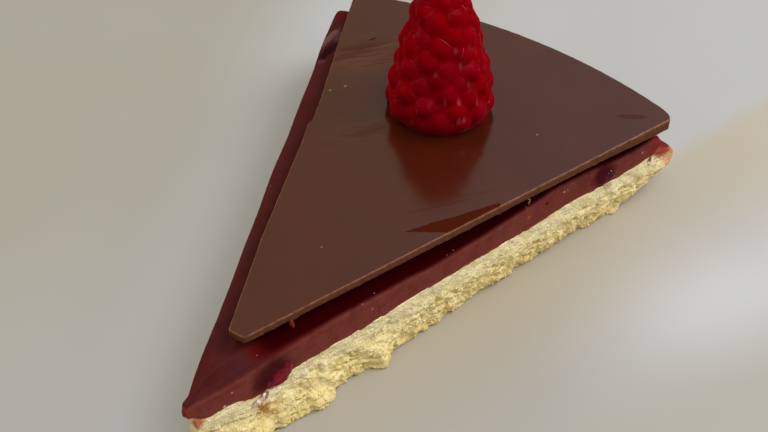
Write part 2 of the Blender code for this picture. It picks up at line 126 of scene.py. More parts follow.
def gridBlock(columns, rows, levels, place, layers):
    # a grid pulled up level by level into a block
    # place(column, row, level) gives each corner's point, and a value for each named layer
    bm = bmesh.new()
    made = [bm.verts.layers.float.new(name) for name in layers]
    bmesh.ops.create_grid(bm, x_segments=len(columns) - 1, y_segments=len(rows) - 1, size=1)
    for vert in bm.verts:
        vert.co.z = 0
    top = bm.verts[:] + bm.edges[:] + bm.faces[:]
    for level in range(1, len(levels)):
        top = bmesh.ops.extrude_face_region(bm, geom=top)["geom"]
        for vert in (g for g in top if isinstance(g, bmesh.types.BMVert)):
            vert.co.z = level
    for vert in bm.verts:
        column = round((vert.co.x + 1) / 2 * (len(columns) - 1))
        row = round((vert.co.y + 1) / 2 * (len(rows) - 1))
        vert.co, *values = place(columns[column], rows[row], levels[round(vert.co.z)])
        for layer, value in zip(made, values):
            vert[layer] = value
    bmesh.ops.recalc_face_normals(bm, faces=bm.faces[:])
    return bm


def strand(path, radii, sides):
    # a thin closed tube along a path, with a radius at each point
    def place(turn, ring):
        ahead = path[min(ring + 1, len(path) - 1)] - path[max(ring - 1, 0)]
        turned = Vector((0, 0, 1)).rotation_difference(ahead)
        return [path[ring] + turned @ Vector((math.cos(turn), math.sin(turn), 0)) * radii[ring]]

    turns = [math.tau * k / sides for k in range(sides)]
    return rolledGrid(turns, range(len(path)), place)


def placed(name, bm):
    # the bmesh as an object in the scene
    mesh = bpy.data.meshes.new(name)
    bm.to_mesh(mesh)
    bm.free()
    made = bpy.data.objects.new(name, mesh)
    bpy.context.scene.collection.objects.link(made)
    return made


def joined(parts):
    # several bmeshes in one
    whole = bmesh.new()
    for part in parts:
        mesh = bpy.data.meshes.new("part")
        part.to_mesh(mesh)
        part.free()
        whole.from_mesh(mesh)
        bpy.data.meshes.remove(mesh)
    return whole


def lump(centre, size, roundness, uneven, squash=(1, 1, 1)):
    # one rounded lump, knocked out of shape by noise
    bm = bmesh.new()
    bmesh.ops.create_icosphere(bm, subdivisions=roundness, radius=1)
    for vert in bm.verts:
        knock = 1 + uneven * noise.noise(vert.co * 1.4 + centre / mm)
        vert.co = centre + Vector(c * s for c, s in zip(vert.co, squash)) * size * knock
    return bm


def fusedSkin(bm, voxel, smoothings):
    # one closed skin round lumps that overlap
    lumps = placed("lumps", bm)
    remesh = lumps.modifiers.new("skin", "REMESH")
    remesh.mode, remesh.voxel_size = "VOXEL", voxel
    skin = bmesh.new()
    skin.from_object(lumps, bpy.context.evaluated_depsgraph_get())
    bpy.data.objects.remove(lumps)
    for _ in range(smoothings):
        bmesh.ops.smooth_vert(
            skin, verts=skin.verts[:], factor=0.5, use_axis_x=True, use_axis_y=True, use_axis_z=True
        )
    return skin


def finishPiece(name, bm, material, stands=(), smooth=True):
    # makes the bmesh a piece that rides on the slice, and that stands for the CAD nodes named
    piece = placed(name, bm)
    mesh = piece.data
    mesh.materials.append(material)
    mesh.polygons.foreach_set("use_smooth", [smooth] * len(mesh.polygons))
    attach(piece, "root")
    if stands:
        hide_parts(*stands)
    print(name, len(mesh.vertices), "vertices")


# shaders


class Wire:
    # a shader socket that Python's own signs can reckon with
    def __init__(self, tree, socket=None):
        self.tree, self.socket = tree, socket

    def node(self, kind, settings=None, inputs=None, output=0):
        made = self.tree.nodes.new(kind)
        for name, value in (settings or {}).items():
            if name == "stops":
                while len(made.color_ramp.elements) < len(value):
                    made.color_ramp.elements.new(1)
                for stop, (at, colour) in zip(made.color_ramp.elements, value):
                    stop.position, stop.color = at, (*colour, 1)
            else:
                setattr(made, name, value)
        for name, value in (inputs or {}).items():
            if isinstance(value, Wire):
                self.tree.links.new(value.socket, made.inputs[name])
            elif isinstance(value, tuple) and made.inputs[name].type == "RGBA":
                made.inputs[name].default_value = (*value, 1)
            else:
                made.inputs[name].default_value = value
        return Wire(self.tree, made.outputs[output])

    def reckon(self, operation, *values):
        return self.node("ShaderNodeMath", {"operation": operation}, dict(enumerate(values)))

    def __add__(self, other):
        return self.reckon("ADD", self, other)

    def __sub__(self, other):
        return self.reckon("SUBTRACT", self, other)

    def __rsub__(self, other):
        return self.reckon("SUBTRACT", other, self)

    def __mul__(self, other):
        return self.reckon("MULTIPLY", self, other)

    def rise(self, low, high):
        # 0 at low, 1 at high, smooth between; low may be the larger
        ends = {"Value": self, "From Min": low, "From Max": high}
        return self.node("ShaderNodeMapRange", {"interpolation_type": "SMOOTHSTEP"}, ends)

    def mix(self, first, second):
        # this number's share of the way from one colour to another
        return self.node("ShaderNodeMix", {"data_type": "RGBA"}, {0: self, 6: first, 7: second}, 2)

    def vector(self, operation, other):
        return self.node("ShaderNodeVectorMath", {"operation": operation}, {0: self, 1: other})

    def noise(self, size, detail=2.0, rough=0.5, stretch=(1, 1, 1)):
        # this place's noise, about 0.5, in lumps of that size
        at = self.vector("MULTIPLY", stretch)
        how = {"Vector": at, "Scale": 1 / size, "Detail": detail, "Roughness": rough}
        return self.node("ShaderNodeTexNoise", None, how)

    def bent(self, size, amount):
        # this place, pushed about by noise
        push = self.node("ShaderNodeTexNoise", None, {"Vector": self, "Scale": 1 / size}, "Color")
        push = push.vector("SUBTRACT", (0.5, 0.5, 0.5)).vector("MULTIPLY", (amount, amount, amount))
        return self.vector("ADD", push)

    def cells(self, size):
        # this place's distance from the middle of its cell
        return self.node("ShaderNodeTexVoronoi", None, {"Vector": self, "Scale": 1 / size})

    def reach(self, point, size=(1, 1, 1)):
        # this place's distance from a point, with each axis counted in its own size
        off = self.vector("SUBTRACT", tuple(point)).vector("DIVIDE", tuple(size))
        return off.node("ShaderNodeVectorMath", {"operation": "LENGTH"}, {0: off}, "Value")

    def spot(self, under, point, size, wobble, edge, tone, strength=1.0):
        # a colour with a spot of another tone laid on it; the wobble breaks up its edge
        reach = self.reach(point, size) + wobble
        return (reach.rise(*edge) * strength).mix(under, tone)

    def along(self, heading):
        # how far this place lies along a heading
        how = {0: self, 1: heading}
        return self.node("ShaderNodeVectorMath", {"operation": "DOT_PRODUCT"}, how, "Value")

    def past(self, point, heading):
        # how far this place lies past a line through the point, square to the heading
        return self.along(tuple(heading)) - Vector(point).dot(Vector(heading))

    def turned(self, angle):
        # this place, turned about the upright axis
        how = {"Vector": self, "Angle": angle}
        return self.node("ShaderNodeVectorRotate", {"rotation_type": "Z_AXIS"}, how)

    def attribute(self, name):
        return self.node("ShaderNodeAttribute", {"attribute_name": name}, None, "Fac")

    def axis(self, letter):
        return self.node("ShaderNodeSeparateXYZ", None, {0: self}, letter)

    def bump(self, depth, strength):
        how = {"Height": self, "Distance": depth, "Strength": strength}
        return self.node("ShaderNodeBump", None, how)


def layered(colour, *layers):
    # a colour with tones laid on it one by one, each by its own share
    for share, tone in layers:
        colour = share.mix(colour, tone)
    return colour


def startMaterial(name, constants):
    # a Principled material with its constants set, and the wire that gives a surface's place
    made = bpy.data.materials.new(name)
    made.use_nodes = True
    shader = made.node_tree.nodes["Principled BSDF"]
    for socket, value in constants.items():
        shader.inputs[socket].default_value = value
    place = Wire(made.node_tree).node("ShaderNodeTexCoord", None, None, "Object")

    def feed(**wires):
        # Base_Color=wire and so on: what changes over the surface
        for socket, wire in wires.items():
            made.node_tree.links.new(wire.socket, shader.inputs[socket.replace("_", " ")])

    return made, place, feed


# camera, light and floor

view = {
    "place": Vector((0.11572, -0.18307, 0.22210)),
    "azimuth": math.radians(31.624),
    "elevation": math.radians(43.763),
    "roll": math.radians(-0.189),
    "lens": 72.44,
    "sensor": 36,
}


def makeCamera():
    turn, lift, roll = view["azimuth"], view["elevation"], view["roll"]
    back = Vector(
        (math.sin(turn) * math.cos(lift), -math.cos(turn) * math.cos(lift), math.sin(lift))
    )
    right = Vector((0, 0, 1)).cross(back).normalized()
    up = back.cross(right)
    across = right * math.cos(roll) + up * math.sin(roll)
    upward = up * math.cos(roll) - right * math.sin(roll)
    camera = bpy.data.objects.new("camera", bpy.data.cameras.new("camera"))
    camera.matrix_world = Matrix.Translation(view["place"]) @ Matrix(
        (across, upward, back)
    ).transposed().to_4x4()
    camera.data.lens = view["lens"]
    camera.data.sensor_width = view["sensor"]
    camera.data.clip_start = 0.01
    bpy.context.scene.collection.objects.link(camera)
    bpy.context.scene.camera = camera


studio = {
    "skies": (  # colour by height, warmer on the side away from the window
        (
            (0.0, (0.15, 0.135, 0.11)),
            (0.3, (0.36, 0.31, 0.22)),
            (0.65, (0.50, 0.41, 0.23)),
            (1.0, (0.60, 0.58, 0.53)),
        ),
        (
            (0.0, (0.17, 0.165, 0.16)),
            (0.3, (0.42, 0.41, 0.40)),
            (0.65, (0.60, 0.59, 0.57)),
            (1.0, (0.60, 0.58, 0.53)),
        ),
    ),
    "windowSide": (0.80, 0.60, 0.0),
    "lamps": {  # place, size, watts and colour; each looks at the slice
        "window": (Vector((0.40, 0.33, 0.56)), 0.5, 3.3, (1.0, 1.0, 1.0)),
        "ceiling": (Vector((0.42, -0.22, 0.80)), 0.6, 2.9, (1.0, 0.98, 0.94)),
        "fill": (Vector((-0.55, -0.10, 0.26)), 0.6, 1.5, (1.0, 0.97, 0.93)),
    },
    "floorHalf": 3,
    "floor": {  # its tones, with painted light and shade: dim and lit, cooler far right, darker far left and near right, and painted light by the cuts
        "dim": (0.352, 0.350, 0.345),
        "lit": (0.62, 0.65, 0.73),
        "farRight": (0.375, 0.385, 0.39),
        "farLeft": (0.32, 0.314, 0.27),
        "nearRight": (0.355, 0.35, 0.325),
        "paintedBounceByRightCut": (0.42, 0.36, 0.26),  # painted bounce light and shade from the crumb
        # painted light, brighter by the left cut
        "paintedLightByLeftCut": (0.46, 0.50, 0.56),
    },
}


def makeStudio():
    world = bpy.data.worlds.new("studio")
    world.use_nodes = True
    backdrop = world.node_tree.nodes["Background"]
    way = Wire(world.node_tree).node("ShaderNodeTexCoord", None, None, "Generated")
    warm, cool = (
        way.node("ShaderNodeValToRGB", {"stops": stops}, {0: way.axis("Z")}) for stops in studio["skies"]
    )
    sky = way.along(studio["windowSide"]).rise(-0.10, 0.28).mix(warm, cool)
    world.node_tree.links.new(sky.socket, backdrop.inputs["Color"])
    bpy.context.scene.world = world
    for name, (place, size, watts, colour) in studio["lamps"].items():
        lamp = bpy.data.objects.new(name, bpy.data.lights.new(name, "AREA"))
        lamp.data.size, lamp.data.energy, lamp.data.color = size, watts, colour
        lamp.location = place
        lamp.rotation_euler = place.to_track_quat("Z", "Y").to_euler()
        bpy.context.scene.collection.objects.link(lamp)
    bpy.context.scene.view_settings.view_transform = "Standard"


def makeFloor():
    bm = bmesh.new()
    bmesh.ops.create_grid(bm, x_segments=1, y_segments=1, size=studio["floorHalf"])
    floor = placed("floor", bm)
    slab, place, feed = startMaterial("floor_slab", {"Roughness": 0.6})
    tones = studio["floor"]
    farRight = place.axis("Y").rise(10 * mm, 80 * mm) * place.axis("X").rise(-90 * mm, 10 * mm)
    # the painted light from the slice falls only close to it
    close = place.reach((0, 0, 0)).rise(150 * mm, 80 * mm)
    offRight = place.past(onCut(60 * mm, 0), sideNormal(1))
    byRight = close * offRight.rise(34 * mm, 2 * mm) * offRight.rise(-9 * mm, -3 * mm)
    offLeft = place.past(polar(60 * mm, -wedge["halfAngle"]), sideNormal(-1))
    byLeft = close * offLeft.rise(34 * mm, 0) * offLeft.rise(-9 * mm, -3 * mm)
    # painted light and shade on the stone: falloff from the window side, cooler far right, darker far
    # left and near right, painted light by the cuts, then a mottle
    stoneWithPaintedLight = layered(
        tones["dim"],
        (place.along((0.60, 0.80, 0)).rise(10 * mm, 80 * mm), tones["lit"]),
        (farRight * 0.9, tones["farRight"]),
        (place.along((-1.0, 0.2, 0)).rise(15 * mm, 75 * mm), tones["farLeft"]),
        (place.along((0.85, -0.52, 0)).rise(32 * mm, 62 * mm), tones["nearRight"]),
        (byRight * place.axis("Y").rise(-90 * mm, -10 * mm) * 0.75, tones["paintedBounceByRightCut"]),
        (byLeft * 0.7, tones["paintedLightByLeftCut"]),
        (place.noise(60 * mm, 3.0).rise(0.3, 0.7) * 0.25, tones["dim"]),
    )
    feed(Base_Color=stoneWithPaintedLight)
    floor.data.materials.append(slab)


# pastry base

pastry = {
    "height": 12.6 * mm,
    "tipRadius": 2.2 * mm,
    "lipHeight": 1.3 * mm,
    "lipStart": 114.2 * mm,
    "lipWidth": 2.6 * mm,
    "footRadius": 110 * mm,
    "widestShare": 0.48,
    "lipRounding": 4.4 * mm,
    "lipCurve": 2.2,
    "rimStart": 84 * mm,
    "middle": 70 * mm,  # radius that the closing rings shrink to
    "seamWave": 0.35 * mm,
    "seamWaveLength": 14 * mm,
    "seamDip": (1.5 * mm, 15 * mm, 3.2 * mm),  # depth, radius, width
    "tipRise": (2.6 * mm, 5 * mm),  # the seam is higher at the tip: how far, up to this radius
    "cornerLoss": {-1: 2.0 * mm, 1: 0.4 * mm},
    "cornerStart": 109 * mm,
    "spread": (2.0 * mm, 18 * mm, 10 * mm),  # pushed out at the foot: how far, radius, width
    "undercut": (1.6 * mm, 30 * mm, 40 * mm),  # broken away at the foot: how far, from, over
    "rimUndercut": (1.8 * mm, 88 * mm, 14 * mm),
    "undercutHeight": 8.5 * mm,
    "undercutPower": 1.3,  # how fast they fade upwards
    # broken lumps at the foot of the right cut: radius, how far out, width
    "footLumps": ((28.5 * mm, 1.4 * mm, 3.2 * mm), (42.5 * mm, 2.2 * mm, 2.6 * mm)),
    "crumb": 3.1 * mm,
    "fineCrumb": 1.5 * mm,
    "crumbDepth": 0.95 * mm,
    "grain": 1.2 * mm,
    "grainDepth": 0.33 * mm,
    "fineGrain": 0.6 * mm,
    "fineGrainDepth": 0.30 * mm,
    "crag": (2.3 * mm, 0.17 * mm),  # size and depth of the sharp crags
    "footRounding": (0.5 * mm, 0.3 * mm),  # height, and how far the foot is drawn in
    "furrow": (6.5 * mm, 1.5 * mm, 0.5 * mm),  # length, spacing and depth of the torn furrows
    "creamBand": 8.2 * mm,  # above it the crumb is fine and creamy
    "step": 0.245 * mm,
    "crust": 1.1 * mm,  # how deep the oven browned the outer wall
    "cutShare": 0.04,  # the relief ends this share of the way in from a cut
    "wallRelief": 0.22,  # its share on the outer wall
    "topRelief": 0.4,  # and on the top
    "wallStep": 0.008,
    # rings that close its underside and its top: share of the height, share of the way in
    "underRings": ((0, 0.06), (0, 0.015), (0, 0.004)),
    "topRings": ((1, 0.004), (1, 0.01), (1, 0.02), (1, 0.04), (1, 0.07)),
}


def seamHeight(u, radius):
    # where the filling starts, level inside and gently uneven at the cuts; u runs from cut to cut
    nearCut = ease(1 - (1 - abs(u)) / 0.1) * ease(radius / (12 * mm))
    uneven = wave(radius, math.copysign(1, u), pastry["seamWaveLength"], 3.1) * nearCut
    deep, at, width = pastry["seamDip"]
    dip = deep * hump(radius, at, width) * ease(1 - (1 - u) / 0.8)
    lip = pastry["lipHeight"] * ease((radius - pastry["lipStart"]) / pastry["lipWidth"])
    rise, reach = pastry["tipRise"]
    tip = rise * (1 - ease(radius / reach))
    return pastry["height"] + pastry["seamWave"] * uneven + lip + tip - dip


def wallRadius(w):
    # the baked wall leans out to its widest part and rounds back to the lip
    # w is the share of its height
    foot, widest = pastry["footRadius"], pastry["widestShare"]
    lean = foot + (wedge["radius"] - foot) * ease(w / widest)
    return lean - pastry["lipRounding"] * max(0.0, (w - widest) / (1 - widest)) ** pastry["lipCurve"]


def pulledIn(radius, w):
    share = ease((radius - pastry["rimStart"]) / (wedge["radius"] - pastry["rimStart"]))
    return radius - (wedge["radius"] - wallRadius(w)) * share


def cornerLoss(radius, side):
    start = pastry["cornerStart"]
    return pastry["cornerLoss"][side] * (max(0.0, radius - start) / (wedge["radius"] - start)) ** 2


def tornOffset(radius, height, side):
    # how far the torn pastry stands out of the cut's plane, as in the solid
    deep, at, width = pastry["spread"]
    flare = deep * hump(radius, at, width)
    for deep, start, width in (pastry["undercut"], pastry["rimUndercut"]):
        flare -= deep * ease((radius - start) / width)
    if side > 0:
        flare += sum(deep * hump(radius, at, width) for at, deep, width in pastry["footLumps"])
    low = (1 - min(1.0, height / pastry["undercutHeight"])) ** pastry["undercutPower"]
    flare *= low * (1 + 0.5 * wave(radius, side, 9 * mm, 8.4))
    point = Vector((radius, 31 * mm * side, height))
    coarse = noise.noise(point / pastry["crumb"])
    fine = noise.noise(point / pastry["fineCrumb"] + Vector((5, 9, 2)))
    depth = pastry["crumbDepth"] * (1 - 0.7 * min(1.0, height / pastry["height"]))
    torn = flare + depth * (coarse + 0.6 * fine)
    return torn * ease(radius / wedge["trueTip"]) - cornerLoss(radius, side)


def crumbRelief(radius, height, side, point):
    # packed grains parted by cracks and torn furrows, finer and shallower in the creamy band
    low = 1 - 0.62 * ease((height - pastry["creamBand"]) / (4 * mm) + 0.5)
    bent = point + noise.noise_vector(point / (1.3 * mm)) * (0.5 * mm)
    large = 0.5 - noise.voronoi(bent / pastry["grain"])[0][0]
    small = 0.5 - noise.voronoi(bent / pastry["fineGrain"] + Vector((3, 1, 7)))[0][0]
    patch = clamp(0.55 + 1.1 * noise.noise(point / (3.3 * mm) + Vector((1, 8, 4))))
    size, depth = pastry["crag"]
    crag = noise.ridged_multi_fractal(point / size, 0.9, 2.2, 4, 0.9, 2.0)
    length, spacing, torn = pastry["furrow"]
    along = noise.noise(Vector((radius / length, 5 * side, height / spacing + 0.12 * radius / mm)))
    split = noise.noise(Vector((radius / (1.6 * mm), 9 * side, height / (3.4 * mm))))
    furrow = hump(along, 0, 0.09) + 0.6 * hump(split, 0.05, 0.08) * patch
    relief = large * pastry["grainDepth"] * (0.35 + patch) + small * pastry["fineGrainDepth"]
    return low * (relief + depth * (crag - 1.1) - torn * furrow * patch)


def pastryPoint(u, radius, w, inset=0.0):
    # a point of the pastry's skin: share of the way between the cuts, radius, share of the height
    side = math.copysign(1, u)
    nearCut = ease(1 - (1 - abs(u)) / pastry["cutShare"])
    u *= 1 - inset
    radius += (pastry["middle"] - radius) * inset
    height = seamHeight(u, pulledIn(radius, 1)) * w
    place = polar(pulledIn(radius, w), u * wedge["halfAngle"]) + Vector((0, 0, height))
    relief = crumbRelief(radius, height, side, place)
    tall, drawn = pastry["footRounding"]
    torn = tornOffset(radius, height, side) - drawn * (1 - ease(height / tall))
    place += sideNormal(side) * (torn * abs(u) + relief * nearCut * max(0.0, 1 - 8 * inset))
    outward = (polar(1, u * wedge["halfAngle"]) - wedge["centre"]).normalized()
    onWall = clamp(1 - (wallRadius(w) - pulledIn(radius, w)) / pastry["crust"])
    place += outward * (pastry["wallRelief"] * relief - 0.05 * mm) * onWall
    if w == 1:
        place.z += pastry["topRelief"] * relief * nearCut
    # the relief kept for the colour's painted shade in low grains and painted highlight on raised ones
    grain = clamp(0.62 + relief / (0.9 * mm)) if nearCut > 0.5 else 0.6
    return place, grain, onWall


def placePastry(spot, ring):
    return pastryPoint(*spot, *ring)


def makePastry(material):
    right = [(1, radius) for radius in steps(pastry["tipRadius"], wedge["radius"], pastry["step"])]
    wall = [(u, wedge["radius"]) for u in steps(1, -1, pastry["wallStep"])[1:-1]]
    left = [(-1, radius) for _, radius in reversed(right)]
    tip = [(u, pastry["tipRadius"]) for u in (-0.7, -0.35, 0, 0.35, 0.7)]
    side = [(w, 0) for w in steps(0, 1, pastry["step"] / pastry["height"])]
    rings = [*pastry["underRings"], *side, *pastry["topRings"]]
    bm = rolledGrid(right + wall + left + tip, rings, placePastry, ["grain", "baked"])
    finishPiece("pastryBase", bm, material, ["pastry_base"])


# single grains that stand out of the torn cuts
crumbs = {
    "count": 3000,
    "radii": (4 * mm, 117 * mm),
    "gather": 1.2,  # above 1, more of them lie low
    "highest": 0.97,
    "sizes": (0.13 * mm, 0.36 * mm),
    "large": (0.16, 1.7),  # this share of the low ones is so many times larger
    "squash": (0.65, 1.2),
    "uneven": 0.5,
    "sunk": 0.25,  # share of its size that a grain's middle lies inside the cut
    # its value for the painted highlight of raised grains
    "grain": 0.8,
    "seed": 11,
}


def makeCrumbs(material):
    draw = random.Random(crumbs["seed"])
    parts = []
    for _ in range(crumbs["count"]):
        side = draw.choice((-1, 1))
        radius = draw.uniform(*crumbs["radii"])
        share = draw.random() ** crumbs["gather"] * crumbs["highest"]
        size = draw.uniform(*crumbs["sizes"]) * (1 - 0.3 * share)
        if share < 0.5 and draw.random() < crumbs["large"][0]:
            size *= crumbs["large"][1]
        place = pastryPoint(side, radius, share)[0] - sideNormal(side) * size * crumbs["sunk"]
        place.z = max(place.z, 1.7 * size)
        squash = [draw.uniform(*crumbs["squash"]) for _ in range(3)]
        parts.append(lump(place, size, 1, crumbs["uneven"], squash))
    bm = joined(parts)
    layer = bm.verts.layers.float.new("grain")
    for vert in bm.verts:
        vert[layer] = crumbs["grain"]
    finishPiece("pastryCrumbs", bm, material, smooth=False)


# where juice soaked the crumb, in millimetres: radius and height on the right cut, half sizes,
# strength, colour
pastryStains = (
    ((16.0, 6.9), (1.2, 1.5, 1.7), 0.9, (0.42, 0.18, 0.03)),
    ((17.8, 4.6), (1.6, 1.6, 1.3), 0.5, (0.62, 0.36, 0.12)),
    ((16.4, 10.0), (1.3, 1.3, 1.7), 0.8, (0.22, 0.03, 0.02)),
    ((2.6, 13.0), (1.4, 1.9, 2.0), 0.9, (0.50, 0.105, 0.045)),
    ((119.8, 8.8), (3.4, 2.2, 3.4), 0.85, (0.78, 0.40, 0.18)),
    ((117.0, 12.6), (5.2, 3.6, 3.2), 0.95, (0.36, 0.030, 0.022)),
    ((119.4, 14.0), (3.6, 3.2, 2.1), 0.85, (0.14, 0.014, 0.018)),
    ((113.4, 11.6), (0.6, 1.1, 1.8), 0.95, (0.14, 0.06, 0.025)),
    ((114.6, 14.0), (0.5, 0.6, 0.7), 0.9, (0.05, 0.006, 0.006)),
    ((101.0, 11.4), (2.4, 1.6, 1.0), 0.5, (0.50, 0.20, 0.12)),
)


def pastryMaterial():
    made, place, feed = startMaterial("pastry", {"Roughness": 0.9, "Specular IOR Level": 0.12})
    height = place.axis("Z")
    grain = place.attribute("grain")
    loose = place.bent(1.2 * mm, 0.6 * mm)
    granule = loose.cells(0.62 * mm)
    dust = loose.cells(0.30 * mm)
    grit = place.noise(0.30 * mm, 4.0, 0.7)
    mottle = place.noise(2.4 * mm, 3.0, 0.6)
    warm = place.noise(5 * mm, 2.0, 0.5)
    golden = mottle.rise(0.25, 0.75).mix((0.87, 0.71, 0.30), (0.95, 0.82, 0.46))
    golden = (warm.rise(0.58, 0.75) * 0.35).mix(golden, (0.96, 0.70, 0.37))
    cream = mottle.rise(0.3, 0.7).mix((0.82, 0.70, 0.385), (0.93, 0.82, 0.54))
    band = (height + (mottle - 0.5) * (6 * mm)).rise(5.4 * mm, 10.2 * mm)
    # pores: painted shade of small holes that the mesh does not have
    pore = place.cells(1.0 * mm).rise(0.17, 0.08) * mottle.rise(0.45, 0.6)
    crust = mottle.rise(0.25, 0.75).mix((0.62, 0.33, 0.12), (0.80, 0.50, 0.22))
    crumb = layered(
        band.mix(golden, cream),
        # painted shade in the low grains and painted highlight on the raised ones, from the relief
        (grain.rise(0.45, 0.05) * 0.8, (0.56, 0.41, 0.11)),
        (grain.rise(0.7, 0.95) * 0.5, (0.98, 0.89, 0.64)),
        # painted shade between the bumped granules and in the low grit, painted highlight on the high
        # grit, and painted shade in the pores
        (granule.rise(0.48, 0.78) * (1.1 - band * 0.5) * 0.40, (0.64, 0.48, 0.14)),
        (grit.rise(0.42, 0.30) * 0.45, (0.56, 0.42, 0.13)),
        (grit.rise(0.58, 0.70) * 0.3, (1.0, 0.91, 0.66)),
        (pore * 0.6, (0.40, 0.28, 0.08)),
        (height.rise(4 * mm, 0.5 * mm) * 0.4, (0.60, 0.47, 0.17)),
        (place.attribute("baked").rise(0.1, 0.9) * 0.85, crust),
    )
    uneven = (mottle - 0.5) * 1.3 + (grit - 0.5) * 0.8
    for (radius, tall), sizes, strength, stain in pastryStains:
        middle = onCut(radius * mm, tall * mm)
        crumb = place.spot(crumb, middle, Vector(sizes) * mm, uneven, (1.15, 0.5), stain, strength)
    feed(
        Base_Color=crumb,
        Normal=(grit * 0.8 - granule - dust * 0.45).bump(0.22 * mm, 0.75),
    )
    return made


# filling

filling = {
    "top": 20.3 * mm,
    "shelf": 3.4 * mm,  # level this far in from a cut
    # height of the top along the right cut, and how far in from it the top is level again
    "rightEdge": (
        (0, 19.2), (3, 18.5), (8, 18.0), (16, 18.5), (25, 19.1), (33, 19.2), (40, 19.0), (47, 18.4),
        (55, 17.9), (67, 18.0), (76, 18.6), (86, 19.3), (95, 18.7), (104, 17.4), (117, 17.0),
    ),
    "slope": 3.6 * mm,
    "tipSunk": (1.2 * mm, 9 * mm),  # lower at the tip on the left too: how far, up to this radius
    "crownReach": 8 * mm,  # then up to the plate over this distance
    "tipOverhang": 1.3 * mm,
    "tipFullness": 0.35 * mm,
    "radius": 116.4 * mm,
    "endStart": 112 * mm,
    "endHeight": 0.6 * mm,
    "rounding": (1.3 * mm, 0.9 * mm),  # height and depth of the rounded top edge
    "cutWave": 0.18 * mm,
    "ragged": 0.05 * mm,
    "shade": (2.9 * mm, 9.0 * mm),  # how far it reaches out of the plate's edge, and grows from its tip
    "under": 0.9 * mm,  # reaches this far down behind the pastry's ragged edge
    "step": 0.5 * mm,
    "denseFrom": 0.72,  # its grid is dense from this share of the way to a cut
    "columnSteps": (0.0125, 0.06),  # there, and between
    "tipRows": (0.2, 0.5, 0.8, 1.2, 1.7, 2.2, 2.8, 3.4, 3.9),  # in millimetres
    "endRows": (107 * mm, 107.4 * mm, 0.4 * mm),  # the even rows' end, where closer ones start, how close
    # marks in its top: centre, heading, half length, half width and depth
    "gouge": (Vector((-31.5, 93.6)) * mm, Vector((-0.09, 1.0)), 4.0 * mm, 0.9 * mm, 1.0 * mm),
    "smear": (Vector((-33.3, 97.6)) * mm, Vector((-0.10, 1.0)), 4.0 * mm, 0.9 * mm, -0.25 * mm),
}


def fillingTop(u, radius):
    # low along the cuts, up to the plate between them, and down to the lip at its end
    fromCut = (1 - abs(u)) * wedge["halfAngle"] * radius
    under = plate["top"] - plateThickness(radius * math.cos(u * wedge["halfAngle"])) + 0.1 * mm
    deep, reach = filling["tipSunk"]
    left = deep * (1 - ease(radius / reach))
    right = filling["top"] - between(filling["rightEdge"], radius / mm) * mm
    right *= 1 - ease(fromCut / filling["slope"])
    edge = filling["top"] - left - (right - left) * ease(1.5 * u + 0.4)
    top = edge + (under - edge) * ease((fromCut - filling["shelf"]) / filling["crownReach"])
    end = seamHeight(u, filling["radius"]) + filling["endHeight"]
    intoEnd = max(0.0, radius - filling["endStart"]) / (filling["radius"] - filling["endStart"])
    return top - (top - end) * (1 - math.sqrt(max(0.0, 1 - intoEnd**2)))


def markDepth(place, mark):
    centre, heading, length, width, depth = mark
    off = Vector((place.x, place.y)) - Vector(wedge["centre"].xy) - centre
    along = off.dot(heading.normalized())
    across = off.dot(Vector((heading.y, -heading.x)).normalized())
    across += 0.6 * mm * noise.noise(place / (2 * mm))
    return depth * hump(along, 0, length) * hump(across, 0, width)


def underPlate(place, u):
    # the share of painted shadow: 1 under the plate's right edge, falling to 0 outside it
    start = fromCentre(*plate["tipRight"])
    ahead = (polar(plate["radius"], plate["rightAngle"]) - start).normalized()
    inside = ahead.cross(place - start).z
    along = ahead.dot(place - start)
    fade, tipFade = filling["shade"]
    return ease(inside / fade + 1) * ease(along / tipFade + 0.25) * ease(3 * u)


def placeFilling(u, radius, w):
    seam = seamHeight(u, radius)
    bottom = seam - filling["under"] * ease(radius / (6 * mm))
    top = fillingTop(u, radius)
    height = bottom + (top - bottom) * w
    tall, deep = filling["rounding"]
    intoRounding = clamp((height - top) / min(tall, 0.5 * (top - bottom)) + 1)
    inset = deep * (1 - math.sqrt(1 - intoRounding**2))
    inset = min(inset, 0.6 * radius * math.sin(wedge["halfAngle"]))
    bulge = math.sin(math.pi * (0.12 + 0.72 * w))
    shift = filling["tipOverhang"] * (1 - bulge) * (1 - ease(radius / (8 * mm)))
    place = polar(radius + shift, u * wedge["halfAngle"])
    side = math.copysign(1, u)
    uneven = filling["cutWave"] * wave(radius, side, 11 * mm, 5.7)
    ragged = noise.noise(Vector((radius / (1.3 * mm), 3 * side, height / (5 * mm))))
    uneven = (uneven + filling["ragged"] * ragged) * ease(radius / wedge["trueTip"])
    fuller = filling["tipFullness"] * (1 - ease(radius / (3.5 * mm)))
    tucked = 0.4 * mm * clamp(1 - (height - bottom) / filling["under"])
    place += sideNormal(side) * (uneven + fuller - inset - cornerLoss(radius, side) - tucked) * abs(u)
    place.z = height
    if w > 0.9:
        place.z -= sum(markDepth(place, filling[mark]) for mark in ("gouge", "smear"))
        place.z += 0.06 * mm * noise.noise(place / (4 * mm))
    return place, intoRounding, (height - seam) / mm, underPlate(place, u)


def makeFilling(material):
    dense = filling["denseFrom"]
    fine, coarse = filling["columnSteps"]
    edge = steps(-1, -dense, fine)
    columns = edge + steps(-dense, dense, coarse)[1:-1] + [-u for u in reversed(edge)]
    end, start, spacing = filling["endRows"]
    rows = [radius * mm for radius in filling["tipRows"]]
    rows += steps(rows[-1], end, filling["step"])[1:]
    rows += steps(start, filling["radius"], spacing)
    levels = steps(0, 0.5, 0.05)[:-1] + steps(0.5, 0.9, 0.025)[:-1] + steps(0.9, 1, 0.0125)
    bm = gridBlock(columns, rows, levels, placeFilling, ["skin", "above", "shade"])
    finishPiece("fillingCream", bm, material, ["filling"])
